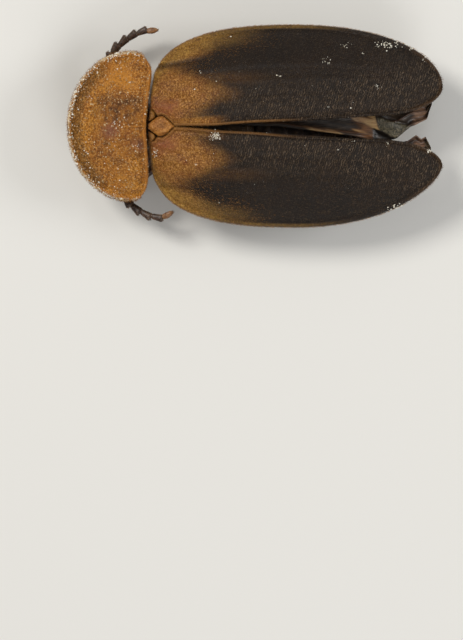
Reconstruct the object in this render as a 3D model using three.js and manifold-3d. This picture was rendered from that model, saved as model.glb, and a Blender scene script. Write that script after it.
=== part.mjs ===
// A firefly at life size, in millimetres: a dried male with its legs folded under it, as it would lie on a
// table.
// +Z is up, the head points to -Y and the beetle's left side is +X. The origin is on the table,
// under the middle of the outline.
import * as THREE from "three";
import { mergeVertices } from "three/addons/utils/BufferGeometryUtils.js";
import Module from "manifold-3d";

const wasm = await Module();
wasm.setup();

// Driving dimensions
const GAP = 0.1; // clear space between neighbouring pieces
const SHELL = 0.44; // thickness of the wing cases and of the pronotum's rim
const MEMBRANE = 0.4; // thickness of a folded hind wing
const VEIN = 0.06; // how far its veins stand out
const FEMUR = 0.26; // half-width of a femur at its middle
const TIBIA = 0.2; // half-width of a tibia
const LIMB_HIGH = 0.18; // half-height of a femur or a tibia
const TARSUS = 0.16; // half-width of a tarsus
const ANTENNA = 0.21; // half-width of an antenna
const ANTENNA_HIGH = 0.16; // and half its thickness

// The wing cases, as seen from above
const CASE_BASE = -4.2; // Y of the front end
const CASE_TIP = 7.8; // Y of the hind end
const CASE_WIDEST = 1.7; // Y where the pair is widest
const CASE_HALF = 4.22; // half the width of the pair there
const CASE_TIP_X = 1.65; // distance of each tip from the middle line
const CASE_PARTS = -2.6; // Y where the two cases start to part
const CASE_PARTING = { left: 0.54, right: 0.43 }; // distance of each inner edge from the middle line behind
const CASE_ROUND_FROM = 5; // Y where the inner edge starts to round off to the tip
const CASE_CREST = 4.1; // height of the back above the table
const CASE_BASE_FALL = 0.72; // how far the back falls towards the base
const CASE_TIP_FALL = 1.25; // and towards the tips
const CASE_MARGIN = 2.15; // height of the side margin
const CASE_BASE_LIFT = 0.5; // how far the margin rises towards the base
const CASE_TIP_LIFT = 0.35; // and towards the tips
const CASE_END_HALF = 0.12; // half-width of the blunt tip
const CASE_BACK_CURVE = { left: [2.13, 0.65], right: [2.1, 0.5] }; // how the outer edge rounds off behind
const RIB_PLACES = [0.3, 0.56]; // the two ribs of a case, as shares of its width
const RIB_HALF = 0.09; // half a rib's width, as a share
const RIB_HEIGHT = 0.07;
const EDGE_HEIGHT = 0.06; // height of the bead along both edges

// The scutellum, the small shield between the wing cases
const SHIELD_Y = -4.05; // Y of its widest point
const SHIELD_HALF = 0.44;
const SHIELD_LENGTH = 0.74; // from the widest point to the hind end
const SHIELD_TOP = 3.58; // height of its middle

// The pronotum, the shield over the head
const HOOD_FRONT = -7.79;
const HOOD_WIDEST = -5.2; // Y of its widest point
const HOOD_HALF = 3.1;
const HOOD_BACK = -4.45; // Y of its hind edge in the middle
const HOOD_TOP = 3.62; // height of its hind edge in the middle
const HOOD_SIDE_FALL = 1.35; // how far it falls to the sides
const HOOD_FRONT_FALL = 1.28; // and to the front
const HOOD_DISC = 0.22; // height of the raised disc in the middle
const HOOD_BOW = 0.13; // how far the hind corners reach behind the middle
const HOOD_SKEW = 0.022; // how far the hind edge slants, for each millimetre to the right

// The head under the hood
const HEAD = new THREE.Vector3(-0.15, -5.68, 1.98);
const EYE_SPREAD = 0.67; // distance of each eye's centre from the middle of the head
const EYE = new THREE.Vector3(0.48, 0.57, 0.54); // half-sizes of an eye

const clamp01 = (t) => Math.min(Math.max(t, 0), 1);
const mix = (a, b, t) => a + (b - a) * t;
const point = (x, y, z) => new THREE.Vector3(x, y, z);
const bump = (t) => Math.max(0, 1 - t * t) ** 2; // a smooth hill of height 1 between -1 and 1

// Straight lines from one [position, value] pair to the next.
function along(pairs, at) {
  const n = pairs.findIndex(([position]) => position > at);
  if (n === 0) return pairs[0][1];
  if (n < 0) return pairs[pairs.length - 1][1];
  const [[p, a], [q, b]] = [pairs[n - 1], pairs[n]];
  return mix(a, b, (at - p) / (q - p));
}

// Closed solids

function geometryOf(coordinates, triangles) {
  const geometry = new THREE.BufferGeometry();
  geometry.setAttribute("position", new THREE.Float32BufferAttribute(coordinates, 3));
  geometry.setIndex(triangles);
  return geometry;
}

// A solid for manifold-3d from a closed geometry, with its faces turned outwards.
function solidOf(geometry) {
  const bare = geometry.clone();
  bare.deleteAttribute("normal");
  bare.deleteAttribute("uv");
  const merged = mergeVertices(bare, 1e-5);
  const triVerts = new Uint32Array(merged.index.array);
  const vertProperties = merged.attributes.position.array;
  const made = new wasm.Manifold(new wasm.Mesh({ numProp: 3, vertProperties, triVerts }));
  if (made.volume() > 0) return made;
  return new wasm.Manifold(new wasm.Mesh({ numProp: 3, vertProperties, triVerts: triVerts.reverse() }));
}

// The geometry of a solid's largest closed body.
function geometryFrom(solid) {
  const largest = solid.decompose().reduce((a, b) => (a.volume() > b.volume() ? a : b));
  const mesh = largest.getMesh();
  return geometryOf(mesh.vertProperties, [...mesh.triVerts]);
}

// A slab over a plan. plan(u, v) gives [x, y], with u from front to back and v across, and top and bottom
// give heights at (x, y, u, v). Both faces are split into triangles alike.
function slab(nu, nv, plan, top, bottom) {
  const coordinates = [];
  for (const height of [top, bottom])
    for (let i = 0; i <= nu; i++)
      for (let j = 0; j <= nv; j++) {
        const [x, y] = plan(i / nu, j / nv);
        coordinates.push(x, y, height(x, y, i / nu, j / nv));
      }
  const below = (nu + 1) * (nv + 1);
  const at = (i, j) => i * (nv + 1) + j;
  const triangles = [];
  for (let i = 0; i < nu; i++)
    for (let j = 0; j < nv; j++) {
      const [a, b, c, d] = [at(i, j), at(i, j + 1), at(i + 1, j), at(i + 1, j + 1)];
      triangles.push(a, b, d, a, d, c, below + a, below + d, below + b, below + a, below + c, below + d);
    }
  const rim = [];
  for (let j = 0; j < nv; j++) rim.push([at(0, j + 1), at(0, j)], [at(nu, j), at(nu, j + 1)]);
  for (let i = 0; i < nu; i++) rim.push([at(i, 0), at(i + 1, 0)], [at(i + 1, nv), at(i, nv)]);
  for (const [a, b] of rim) triangles.push(a, b, below + b, a, below + b, below + a);
  return solidOf(geometryOf(coordinates, triangles));
}

// A tube of elliptical sections. Each station is [centre, half-width, half-height]; widths lie level with the
// table.
function tube(stations, sides) {
  const coordinates = [];
  const up = point(0, 0, 1);
  stations.forEach(([centre, wide, high], i) => {
    const before = stations[Math.max(i - 1, 0)][0];
    const after = stations[Math.min(i + 1, stations.length - 1)][0];
    const forward = after.clone().sub(before).normalize();
    const across = forward.clone().cross(up).normalize();
    const rise = across.clone().cross(forward);
    for (let k = 0; k < sides; k++) {
      const angle = ((k + 0.5) / sides) * 2 * Math.PI;
      const corner = centre.clone().addScaledVector(across, wide * Math.cos(angle));
      coordinates.push(...corner.addScaledVector(rise, high * Math.sin(angle)));
    }
  });
  const last = stations.length - 1;
  coordinates.push(...stations[0][0], ...stations[last][0]);
  const [first, end] = [sides * stations.length, sides * stations.length + 1];
  const triangles = [];
  for (let k = 0; k < sides; k++) {
    const next = (k + 1) % sides;
    triangles.push(first, next, k, end, last * sides + k, last * sides + next);
    for (let i = 0; i < last; i++) {
      const [a, b] = [i * sides + k, i * sides + next];
      triangles.push(a, b, b + sides, a, b + sides, a + sides);
    }
  }
  return solidOf(geometryOf(coordinates, triangles));
}

// An ellipsoid with the given half-sizes.
function ball(centre, half, grow = 0, across = 16, down = 10) {
  const geometry = new THREE.SphereGeometry(1, across, down);
  geometry.rotateX(Math.PI / 2);
  geometry.scale(half.x + grow, half.y + grow, half.z + grow);
  geometry.translate(centre.x, centre.y, centre.z);
  return solidOf(geometry);
}

const aboveTable = (solid) => solid.trimByPlane([0, 0, 1], 0);
const joined = (solids) => solids.reduce((a, b) => a.add(b));

// Wing cases

// How far a wing case's inner edge stands from the middle line. The left one leaves it sooner than the right.
function caseInner(y, side) {
  const notchHalf = SHIELD_HALF + GAP;
  const back = (y - SHIELD_Y) / (SHIELD_LENGTH + GAP);
  const notch = notchHalf * Math.sqrt(Math.max(0, 1 - Math.max(back, 0) ** 2));
  const [parting, opening] = side > 0 ? [CASE_PARTING.left, 0.7] : [CASE_PARTING.right, 1];
  const parted = clamp01((y - CASE_PARTS) / (CASE_ROUND_FROM - CASE_PARTS)) ** opening;
  const seam = mix(GAP / 2, parting, parted);
  const round = clamp01((y - CASE_ROUND_FROM) / (CASE_TIP - CASE_ROUND_FROM));
  return mix(Math.max(notch, seam), CASE_TIP_X - CASE_END_HALF, 1 - Math.sqrt(1 - round * round));
}

// A wing case's outer edge: square-shouldered in front and drawn out to the tip behind. The right one is
// fuller.
function caseOuter(y, side) {
  if (y < CASE_WIDEST) {
    const shoulder = CASE_BASE - 0.2;
    const forward = (CASE_WIDEST - y) / (CASE_WIDEST - shoulder);
    return CASE_HALF * (1 - Math.min(forward, 1) ** 2.5) ** 0.27;
  }
  const end = CASE_TIP + 0.03;
  const back = (y - CASE_WIDEST) / (end - CASE_WIDEST);
  const [p, q] = side > 0 ? CASE_BACK_CURVE.left : CASE_BACK_CURVE.right;
  return mix(CASE_TIP_X + CASE_END_HALF, CASE_HALF, (1 - Math.min(back, 1) ** p) ** q);
}

const caseCrest = (y) =>
  CASE_CREST - (y < 0 ? CASE_BASE_FALL * (-y / 4.3) ** 2.2 : CASE_TIP_FALL * (y / CASE_TIP) ** 1.8);

function caseMargin(y) {
  const forward = clamp01((CASE_WIDEST - y) / 6);
  const back = clamp01((y - CASE_WIDEST) / 6);
  return CASE_MARGIN + CASE_BASE_LIFT * forward ** 3 + CASE_TIP_LIFT * back ** 3;
}

// Height of a wing case's upper face. It falls ever more steeply to the side, where a narrow brim flattens
// out.
function caseTop(x, y) {
  const side = Math.sign(x) || 1;
  const inner = caseInner(y, side);
  const v = clamp01((Math.abs(x) - inner) / (caseOuter(y, side) - inner));
  const fall = v ** 2.3;
  const across = RIB_PLACES.reduce((sum, place) => sum + bump((v - place) / RIB_HALF), 0);
  const ribs = RIB_HEIGHT * across * bump((y - 1) / 7);
  const edges = EDGE_HEIGHT * (bump(v / 0.07) + bump((1 - v) / 0.08));
  return mix(caseCrest(y), caseMargin(y), fall) + ribs + edges;
}

// Where the lines of the grid run along a case, so that they follow the ribs
const RIB_LINES = [0, 0.05, 0.2, 0.3, 0.4, 0.48, 0.56, 0.64, 0.76, 0.86, 0.94, 1];

function wingCase(side) {
  const plan = (u, v) => {
    const y = mix(CASE_BASE, CASE_TIP, (1 - Math.cos(Math.PI * u)) / 2);
    const line = RIB_LINES[Math.round(v * (RIB_LINES.length - 1))];
    return [side * mix(caseInner(y, side), caseOuter(y, side), line), y];
  };
  return slab(20, RIB_LINES.length - 1, plan, caseTop, (x, y) => caseTop(x, y) - SHELL);
}

// Hind wings, folded under the wing cases, with the crumpled tips showing behind

const WING_EDGES = {
  left: {
    inner: [[-2.5, 0.1], [1, 0.35], [4, 0.8], [5.9, 0.85], [6.6, 0.5], [6.9, 0.42], [7.15, 0.55],
      [7.4, 0.95]],
    outer: [[-2.5, 1.9], [-1, 2.75], [3, 3.1], [5.5, 2.75], [6.7, 2.4], [7.15, 2.1], [7.4, 1.75]],
  },
  right: {
    inner: [[-2.5, 0.1], [1, 0], [4, -0.4], [5.4, -0.66], [6, -0.48], [6.6, 0], [7.15, 0.35], [7.4, 0.9]],
    outer: [[-2.5, 1.9], [-1, 2.75], [3, 3.1], [5.5, 2.75], [6.7, 2.2], [7.15, 1.75], [7.4, 1.3]],
  },
};
const WING_BASE = -2.5;
const WING_TIP = 7.4;
const WING_DROOP = 0.5; // how far the free tips hang
const WING_DROOP_FROM = 0.84; // share of the length where they start to
const WING_VEINS = [0.04, 0.24, 0.44, 0.62, 0.8, 0.96]; // where the main veins run, from the inner edge on
const VEIN_HALF = 0.03; // half a vein's width, as a share of the wing's
const WING_LINES = [0, ...WING_VEINS.flatMap((v) => [v - VEIN_HALF, v, v + VEIN_HALF]), 1];
const wingTop = (x, y) => caseTop(x, y) - SHELL - 1.4 * GAP;

function hindWing(side) {
  const edges = side > 0 ? WING_EDGES.left : WING_EDGES.right;
  const line = (v) => WING_LINES[Math.round(v * (WING_LINES.length - 1))];
  const plan = (u, v) => {
    const y = mix(WING_BASE, WING_TIP, u);
    return [side * mix(along(edges.inner, y), along(edges.outer, y), line(v)), y];
  };
  const ridge = (v) => (WING_VEINS.includes(line(v)) ? VEIN : 0);
  const free = (u) => clamp01((u - WING_DROOP_FROM) / (1 - WING_DROOP_FROM));
  const droop = (u, v) => WING_DROOP * free(u) ** 2 * (0.4 + v);
  const middle = (x, y, u, v) => wingTop(x, y) - VEIN - MEMBRANE / 2 - droop(u, v);
  const top = (x, y, u, v) => middle(x, y, u, v) + MEMBRANE / 2 + ridge(v);
  const bottom = (x, y, u, v) => middle(x, y, u, v) - MEMBRANE / 2 - ridge(v);
  return slab(15, WING_LINES.length - 1, plan, top, bottom);
}

// Scutellum

const shieldHalf = (y) =>
  y > SHIELD_Y
    ? SHIELD_HALF * Math.sqrt(Math.max(0.05, 1 - ((y - SHIELD_Y) / SHIELD_LENGTH) ** 2))
    : SHIELD_HALF * mix(1, 0.72, clamp01((SHIELD_Y - y) / 0.26));
const shieldTop = (x, y) => SHIELD_TOP - 0.15 * (x / SHIELD_HALF) ** 2 + 0.12 * (y - SHIELD_Y);

function scutellum() {
  const plan = (u, v) => {
    const y = mix(HOOD_BACK + GAP + 0.02, SHIELD_Y + SHIELD_LENGTH, 1 - (1 - u) ** 1.6);
    return [shieldHalf(y) * (2 * v - 1), y];
  };
  return slab(9, 8, plan, shieldTop, (x, y) => shieldTop(x, y) - SHELL);
}

// Pronotum

function hoodHalf(y) {
  if (y < HOOD_WIDEST) {
    const forward = (HOOD_WIDEST - y) / (HOOD_WIDEST - HOOD_FRONT);
    return HOOD_HALF * Math.sqrt(Math.max(0.018, 1 - forward ** 2));
  }
  const corner = clamp01((y - HOOD_WIDEST) / 0.95);
  return HOOD_HALF * (1 - 0.3 * corner ** 3.2);
}

// The hind edge bows forward in the middle and slants a little, so rows near it bend with it.
const hoodHindBow = (x) => HOOD_BOW * (Math.abs(x) / 2.3) ** 2 - HOOD_SKEW * x;

function hoodTop(x, y) {
  const back = (HOOD_BACK - y) / (HOOD_BACK - HOOD_FRONT);
  const half = hoodHalf(y);
  const dish = 0.1 * bump((1 - Math.abs(x) / half) / 0.3);
  const disc = HOOD_DISC * bump(x / 1.9) * bump((y + 5.15) / 1.3);
  const groove = 0.05 * bump(x / 0.16) * bump((y + 4.9) / 0.9);
  const sides = HOOD_SIDE_FALL * (Math.abs(x) / HOOD_HALF) ** 2.1;
  return HOOD_TOP - sides - HOOD_FRONT_FALL * Math.max(back, 0) ** 1.5 + disc + dish - groove;
}

// Thicker at the pads beside the front legs, and at the brim around the hollow that takes the head.
function hoodBottom(x, y) {
  const pad = 0.5 * bump((Math.abs(x) - 2.15) / 1.05) * bump((y + 5) / 0.95);
  const hollow = ((x + 0.1) / 1.45) ** 2 + ((y + 6.15) / 1.15) ** 2;
  const brim = 0.2 * bump((hollow - 1.35) / 0.9);
  return hoodTop(x, y) - SHELL - pad - (y < -5.4 ? brim : 0);
}

function pronotum() {
  const plan = (u, v) => {
    const y = mix(HOOD_FRONT, HOOD_BACK, (1 - Math.cos(Math.PI * u)) / 2);
    const x = hoodHalf(y) * (2 * v - 1);
    return [x, y + hoodHindBow(x) * u ** 3];
  };
  return slab(15, 18, plan, hoodTop, hoodBottom);
}

// Thorax: the prothorax under the hood, then the two rings that carry the wing cases and the hind wings

const PROTHORAX = { front: -5.02, back: -4.12, half: 1.1, bottom: 1.5 };
const MESOTHORAX = { front: -4.02, back: -2.75, half: 1.95, bottom: 1.47 };
const METATHORAX = { front: -2.65, back: -0.1, half: 2.15, bottom: 1.47 };
const keel = (x, half, depth) => depth * (1 - (Math.abs(x) / half) ** 2.2);

// A ring of the trunk: its top follows the ceiling over it and its underside is a shallow keel.
function trunk(ring, ceiling, depth, rise) {
  const half = (u) => ring.half * (0.86 + 0.14 * Math.sin(Math.PI * (0.15 + 0.75 * u)));
  const plan = (u, v) => [half(u) * Math.sin((Math.PI / 2) * (2 * v - 1)), mix(ring.front, ring.back, u)];
  const edge = (x, u) => 1 - (Math.abs(x) / (half(u) * 1.02)) ** 4;
  const bottom = (x, y, u) => ring.bottom + rise * (1 - edge(x, u)) - keel(x, ring.half, depth) + depth;
  const top = (x, y, u) => Math.max(ceiling(x, y) - 0.35 * (1 - edge(x, u)), bottom(x, y, u) + 0.2);
  return slab(6, 10, plan, top, bottom);
}

const prothorax = () => trunk(PROTHORAX, (x, y) => Math.min(hoodBottom(x, y), 2.94) - GAP, 0.05, 0.2);
const mesothorax = () =>
  trunk(MESOTHORAX, (x, y) => Math.min(caseTop(x, y), shieldTop(SHIELD_HALF, y)) - SHELL - GAP, 0.05, 0.4);
const metathorax = () => trunk(METATHORAX, (x, y) => wingTop(x, y) - MEMBRANE - 2 * VEIN - GAP, 0.12, 0.4);

// Abdomen: dark segments in front, then the shrunken pale ones of the light organ, leaning to the right

const SEGMENTS = [
  { name: "abdomen_1", front: 0, back: 0.52, half: 2.1 },
  { name: "abdomen_2", front: 0.62, back: 1.76, half: 2.3 },
  { name: "abdomen_3", front: 1.86, back: 2.76, half: 2.4 },
  { name: "abdomen_4", front: 2.86, back: 3.32, half: 2.32 },
  { name: "light_organ_1", front: 3.42, back: 3.92, half: 2.14 },
  { name: "light_organ_2", front: 4.02, back: 4.42, half: 1.95 },
  { name: "light_organ_3", front: 4.52, back: 4.98, half: 1.7 },
  { name: "light_organ_4", front: 5.08, back: 5.5, half: 1.2 },
];
const BELLY_FLOOR = [[0, 1.34], [0.9, 1.12], [1.4, 0.82], [2.3, 0.68], [2.9, 0.6], [3.5, 0.32], [4.1, 0.05],
  [4.5, -0.05], [5, 0], [5.5, 0.32]];
const BELLY_ROOF = [[0, 2.18], [2, 2.02], [4, 1.62], [5, 1.36], [5.5, 1.15]];
const BELLY_MIDDLE = [[0, -0.05], [3.3, -0.1], [4, -0.28], [4.6, -0.55], [5.5, -0.85]]; // X of the middle

function segment({ front, back, half }) {
  const length = back - front;
  const plan = (u, v) => {
    const y = front + length * u;
    const spread = half * (0.94 + 0.06 * u) * Math.sin((Math.PI / 2) * (2 * v - 1));
    return [along(BELLY_MIDDLE, y) + spread, y];
  };
  const edge = (x, y) => (Math.abs(x - along(BELLY_MIDDLE, y)) / half) ** 3.2;
  const lip = (u) => 0.07 * bump((u - 0.82) / 0.3);
  const bottom = (x, y, u) => along(BELLY_FLOOR, y) - lip(u) + 0.42 * edge(x, y);
  const top = (x, y) => Math.max(along(BELLY_ROOF, y) - 0.1 * edge(x, y), along(BELLY_FLOOR, y) + 0.62);
  return aboveTable(slab(4, 10, plan, top, bottom));
}

// The dark plates of the back: one long piece with a step at each segment
const BACK_PLATES = { front: 0, back: 4.75, half: 2.42, steps: 7 };

function backPlates() {
  const { front, back, half } = BACK_PLATES;
  const plan = (u, v) => {
    const y = mix(front, back, u);
    const taper = half * (1 - 0.16 * (1 - u) ** 3 - 0.1 * u ** 4);
    return [along(BELLY_MIDDLE, y) * 0.6 + taper * Math.sin((Math.PI / 2) * (2 * v - 1)), y];
  };
  const floor = (x, y) => along(BELLY_ROOF, y) + GAP - 0.12 * (Math.abs(x) / half) ** 3.2 + 0.02;
  const steps = (u) => 0.06 * ((u * BACK_PLATES.steps) % 1);
  const top = (x, y, u) => floor(x, y) + 0.42 + steps(u) - 0.16 * (x / half) ** 2;
  return slab(14, 8, plan, top, floor);
}

// Head, eyes and mouthparts

const eyeCentre = (side) => point(HEAD.x + side * EYE_SPREAD, HEAD.y - 0.2, HEAD.z - 0.05);
const eye = (side) => ball(eyeCentre(side), EYE);

function head() {
  const skull = ball(HEAD, point(0.95, 0.55, 0.6));
  const face = ball(point(HEAD.x, HEAD.y - 0.1, HEAD.z - 0.28), point(0.34, 0.5, 0.42), 0, 14, 8);
  const sockets = [-1, 1].map((side) => ball(eyeCentre(side), EYE, GAP));
  return sockets.reduce((rest, socket) => rest.subtract(socket), skull.add(face));
}

function mandible(side) {
  const root = point(HEAD.x + side * 0.14, HEAD.y + 0.22, 1.24);
  const bends = [[0, 0, 0, 0.1], [0.1, 0.1, -0.04, 0.11], [0.1, 0.26, -0.08, 0.09], [0.03, 0.4, -0.1, 0.04]];
  return tube(bends.map(([out, back, up, r]) => [root.clone().add(point(side * out, back, up)), r, r]), 6);
}

function palp(side) {
  const root = point(HEAD.x + side * 0.42, HEAD.y + 0.12, 1.24);
  const lobes = [0.09, 0.13, 0.1, 0.14, 0.1, 0.15, 0.11, 0.05];
  const bend = (t) => point(side * 0.14 * Math.sin(2.6 * t), 0.64 * t, -0.2 * Math.sin(2 * t));
  const at = (t) => root.clone().add(bend(t));
  return tube(lobes.map((radius, i) => [at(i / (lobes.length - 1)), radius, radius * 0.85]), 8);
}

// Antennae: eleven flat segments, each widest at its outer end

const ANTENNAE = {
  left: [[0.12, -6, 1.16], [0.6, -6, 1.12], [1.22, -5.96, 1.12], [2.01, -5.84, 1.1], [2.63, -5.64, 1.16],
    [3.17, -5.28, 1.24], [3.55, -4.8, 1.36], [3.76, -4.3, 1.5], [3.78, -3.82, 1.62], [3.58, -3.43, 1.7]],
  right: [[-0.4, -6, 1.16], [-0.8, -6.05, 1.12], [-1.3, -6.12, 1.12], [-1.95, -6.12, 1.08],
    [-2.6, -6.08, 1.14], [-3.06, -5.95, 1.2], [-3.42, -5.62, 1.28], [-3.72, -5.2, 1.4], [-3.94, -4.7, 1.52],
    [-4.02, -4.06, 1.62]],
};
const ANTENNA_SEGMENTS = 11;

function antenna(side) {
  const places = side > 0 ? ANTENNAE.left : ANTENNAE.right;
  const path = new THREE.CatmullRomCurve3(places.map((p) => point(...p)));
  const stations = [];
  for (let n = 0; n < ANTENNA_SEGMENTS; n++)
    for (const [share, width] of [[0.02, 0.66], [0.86, 1]]) {
      const t = (n + share) / ANTENNA_SEGMENTS;
      const taper = mix(1, 0.6, Math.max(0, t - 0.45) / 0.55) * (n === 0 ? 0.8 : 1);
      stations.push([path.getPointAt(t), ANTENNA * width * taper, ANTENNA_HIGH * width * taper]);
    }
  stations.push([path.getPointAt(1), 0.04, 0.03]);
  return tube(stations, 8);
}

// Legs, folded under the body. A coxa and a femur run straight between two places, and a tibia leaves the
// knee, comes down to the table and rises again to the tarsus.

const TABLE_REST = 0.155; // height of a tibia's middle where it rests on the table
const COXA_HIGH = 0.17; // half-height of a coxa
const TARSUS_JOINTS = 5;

const LEGS = {
  front_left: {
    coxa: { from: [0.86, -4.84, 1.2], to: [0.24, -4.06, 1.2], half: 0.2 },
    femur: [[0.34, -3.96, 0.84], [2.38, -5.06, 0.68]],
    tibia: [[2.48, -4.94, 0.44], [0.88, -3.42, 0.32]],
    tarsus: [[0.78, -3.3, 0.36], [0.62, -2.84, 0.54], [0.36, -2.32, 0.56]],
  },
  middle_left: {
    coxa: { from: [0.34, -3.16, 1.2], to: [0.34, -2.5, 1.2], half: 0.36 },
    femur: [[0.56, -2.48, 0.88], [2.86, -2.68, 0.7]],
    tibia: [[2.92, -2.52, 0.45], [0.72, -1.06, 0.3]],
    tarsus: [[0.58, -0.96, 0.3], [0.24, -0.5, 0.28], [-0.06, -0.06, 0.26]],
  },
  hind_left: {
    coxa: { from: [1.4, -0.66, 1.2], to: [0.24, -0.3, 1.2], half: 0.3 },
    femur: [[0.5, -0.04, 0.94], [3.02, 1.04, 0.7]],
    tibia: [[3.08, 1.2, 0.45], [0.58, 1.62, 0.28]],
    tarsus: [[0.42, 1.68, 0.26], [-0.25, 2.26, 0.24], [-0.88, 2.82, 0.22]],
  },
  front_right: {
    coxa: { from: [-1.06, -4.84, 1.2], to: [-0.44, -4.0, 1.2], half: 0.2 },
    femur: [[-0.42, -3.9, 0.86], [-2.4, -3.18, 0.62]],
    tibia: [[-2.38, -3.0, 0.38], [-0.3, -2.6, 0.26]],
    tarsus: [[-0.14, -2.5, 0.26], [0.32, -2.14, 0.24], [0.84, -2.06, 0.24]],
  },
  middle_right: {
    coxa: { from: [-0.42, -3.16, 1.2], to: [-0.42, -2.5, 1.2], half: 0.36 },
    femur: [[-0.86, -2.84, 1.12], [-2.86, -3.42, 1.0]],
    tibia: [[-3.04, -3.26, 0.78], [-1.3, -1.18, 0.3]],
    tarsus: [[-1.2, -1.02, 0.3], [-0.96, -0.4, 0.28], [-0.68, 0.24, 0.28]],
  },
  hind_right: {
    coxa: { from: [-1.54, -0.66, 1.2], to: [-0.38, -0.3, 1.2], half: 0.3 },
    femur: [[-0.86, -0.12, 0.84], [-3.08, -1.52, 0.7]],
    tibia: [[-3.22, -1.36, 0.45], [-1.9, 1.24, 0.28]],
    tarsus: [[-1.82, 1.38, 0.26], [-1.62, 1.95, 0.24], [-1.42, 2.5, 0.22]],
  },
};

const FEMUR_PROFILE = [[0, 0.45], [0.05, 0.7], [0.22, 0.9], [0.48, 1], [0.78, 0.9], [0.95, 0.7], [1, 0.42]];
const TIBIA_PROFILE = [[0, 0.45], [0.05, 0.7], [0.14, 0.84], [0.3, 0.92], [0.65, 1], [0.95, 0.98], [1, 0.6]];
const COXA_PROFILE = [[0, 0.5], [0.14, 0.86], [0.5, 1], [0.86, 0.86], [1, 0.5]];

// A limb along a path, with a profile of pairs: share of its length, share of its width.
function limb(path, halfWidth, halfHeight, profile) {
  return tube(profile.map(([t, w]) => [path(t), halfWidth * w, halfHeight * w]), 8);
}

const straight = (from, to) => (t) => point(...from).lerp(point(...to), t);

function loweredToTable(from, to) {
  const heights = [[0, from[2]], [0.14, mix(from[2], TABLE_REST, 0.7)], [0.3, TABLE_REST],
    [0.65, TABLE_REST + 0.05], [1, to[2]]];
  return (t) => straight(from, to)(t).setZ(along(heights, t));
}

function tarsus([root, middle, tip]) {
  const path = new THREE.CatmullRomCurve3([root, middle, tip].map((p) => point(...p)));
  const stations = [];
  for (let n = 0; n < TARSUS_JOINTS; n++)
    for (const [share, width] of [[0.02, 0.66], [0.8, 1]]) {
      const thick = TARSUS * width * mix(1, 0.8, n / TARSUS_JOINTS);
      stations.push([path.getPointAt((0.93 * (n + share)) / TARSUS_JOINTS), thick, thick * 0.85]);
    }
  stations.push([path.getPointAt(0.95), TARSUS * 0.5, TARSUS * 0.5]);
  const out = path.getTangentAt(1).setZ(0).normalize();
  const across = point(-out.y, out.x, 0);
  const heel = path.getPointAt(0.9);
  const claw = (side) => {
    const bends = [[0, 0, 0, 0.06], [0.12, 0.08, 0, 0.05], [0.24, 0.1, -0.05, 0.02]];
    const place = (ahead, aside, up) =>
      heel.clone().addScaledVector(out, ahead).addScaledVector(across, side * aside).add(point(0, 0, up));
    return tube(bends.map(([ahead, aside, up, r]) => [place(ahead, aside, up), r, r]), 5);
  };
  return joined([tube(stations, 6), claw(1), claw(-1)]);
}

function leg({ coxa, femur, tibia, tarsus: foot }) {
  return {
    coxa: limb(straight(coxa.from, coxa.to), coxa.half, COXA_HIGH, COXA_PROFILE),
    femur: limb(straight(...femur), FEMUR, LIMB_HIGH, FEMUR_PROFILE),
    tibia: aboveTable(limb(loweredToTable(...tibia), TIBIA, LIMB_HIGH, TIBIA_PROFILE)),
    tarsus: aboveTable(tarsus(foot)),
  };
}

// Colours, as the specimen shows them

const paint = (color, roughness) => new THREE.MeshStandardMaterial({ color, roughness, metalness: 0 });
const AMBER = paint(0xb5752a, 0.55);
const HORN = paint(0x2b2019, 0.5);
const SMOKE = paint(0x3a2c20, 0.35);
const JET = paint(0x0b0a0a, 0.15);
const UMBER = paint(0x3a2817, 0.6);
const CREAM = paint(0xe2c88f, 0.7);
const RUST = paint(0x4a2f1d, 0.45);

const firefly = new THREE.Group();

function add(name, solid, material) {
  const mesh = new THREE.Mesh(geometryFrom(solid), material);
  mesh.name = name;
  firefly.add(mesh);
}

add("pronotum", pronotum(), AMBER);
add("scutellum", scutellum(), AMBER);
add("prothorax", prothorax(), AMBER);
add("mesothorax", mesothorax(), AMBER);
add("metathorax", metathorax(), AMBER);
add("head", head(), UMBER);
for (const [name, side] of [["left", 1], ["right", -1]]) {
  add(`elytron_${name}`, wingCase(side), HORN);
  add(`hindwing_${name}`, hindWing(side), SMOKE);
  add(`eye_${name}`, eye(side), JET);
  add(`mandible_${name}`, mandible(side), UMBER);
  add(`palp_${name}`, palp(side), UMBER);
  add(`antenna_${name}`, antenna(side), RUST);
}
for (const part of SEGMENTS) add(part.name, segment(part), part.name.startsWith("light") ? CREAM : UMBER);
add("abdomen_back", backPlates(), UMBER);
for (const [name, joints] of Object.entries(LEGS))
  for (const [part, solid] of Object.entries(leg(joints))) add(`${part}_${name}`, solid, RUST);

export default firefly;
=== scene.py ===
"""The looks of a dried male firefly: thin sculptured shells, down, folded wings, legs and a pale light organ.

Shapes are worked out in millimetres in the model's own frame: the head points to -Y, the beetle's left side
is +X and the table is at z = 0. They become metres as each mesh is made.
"""
import itertools
import math

import bpy
import numpy as np
from mathutils import Matrix, Vector


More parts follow.
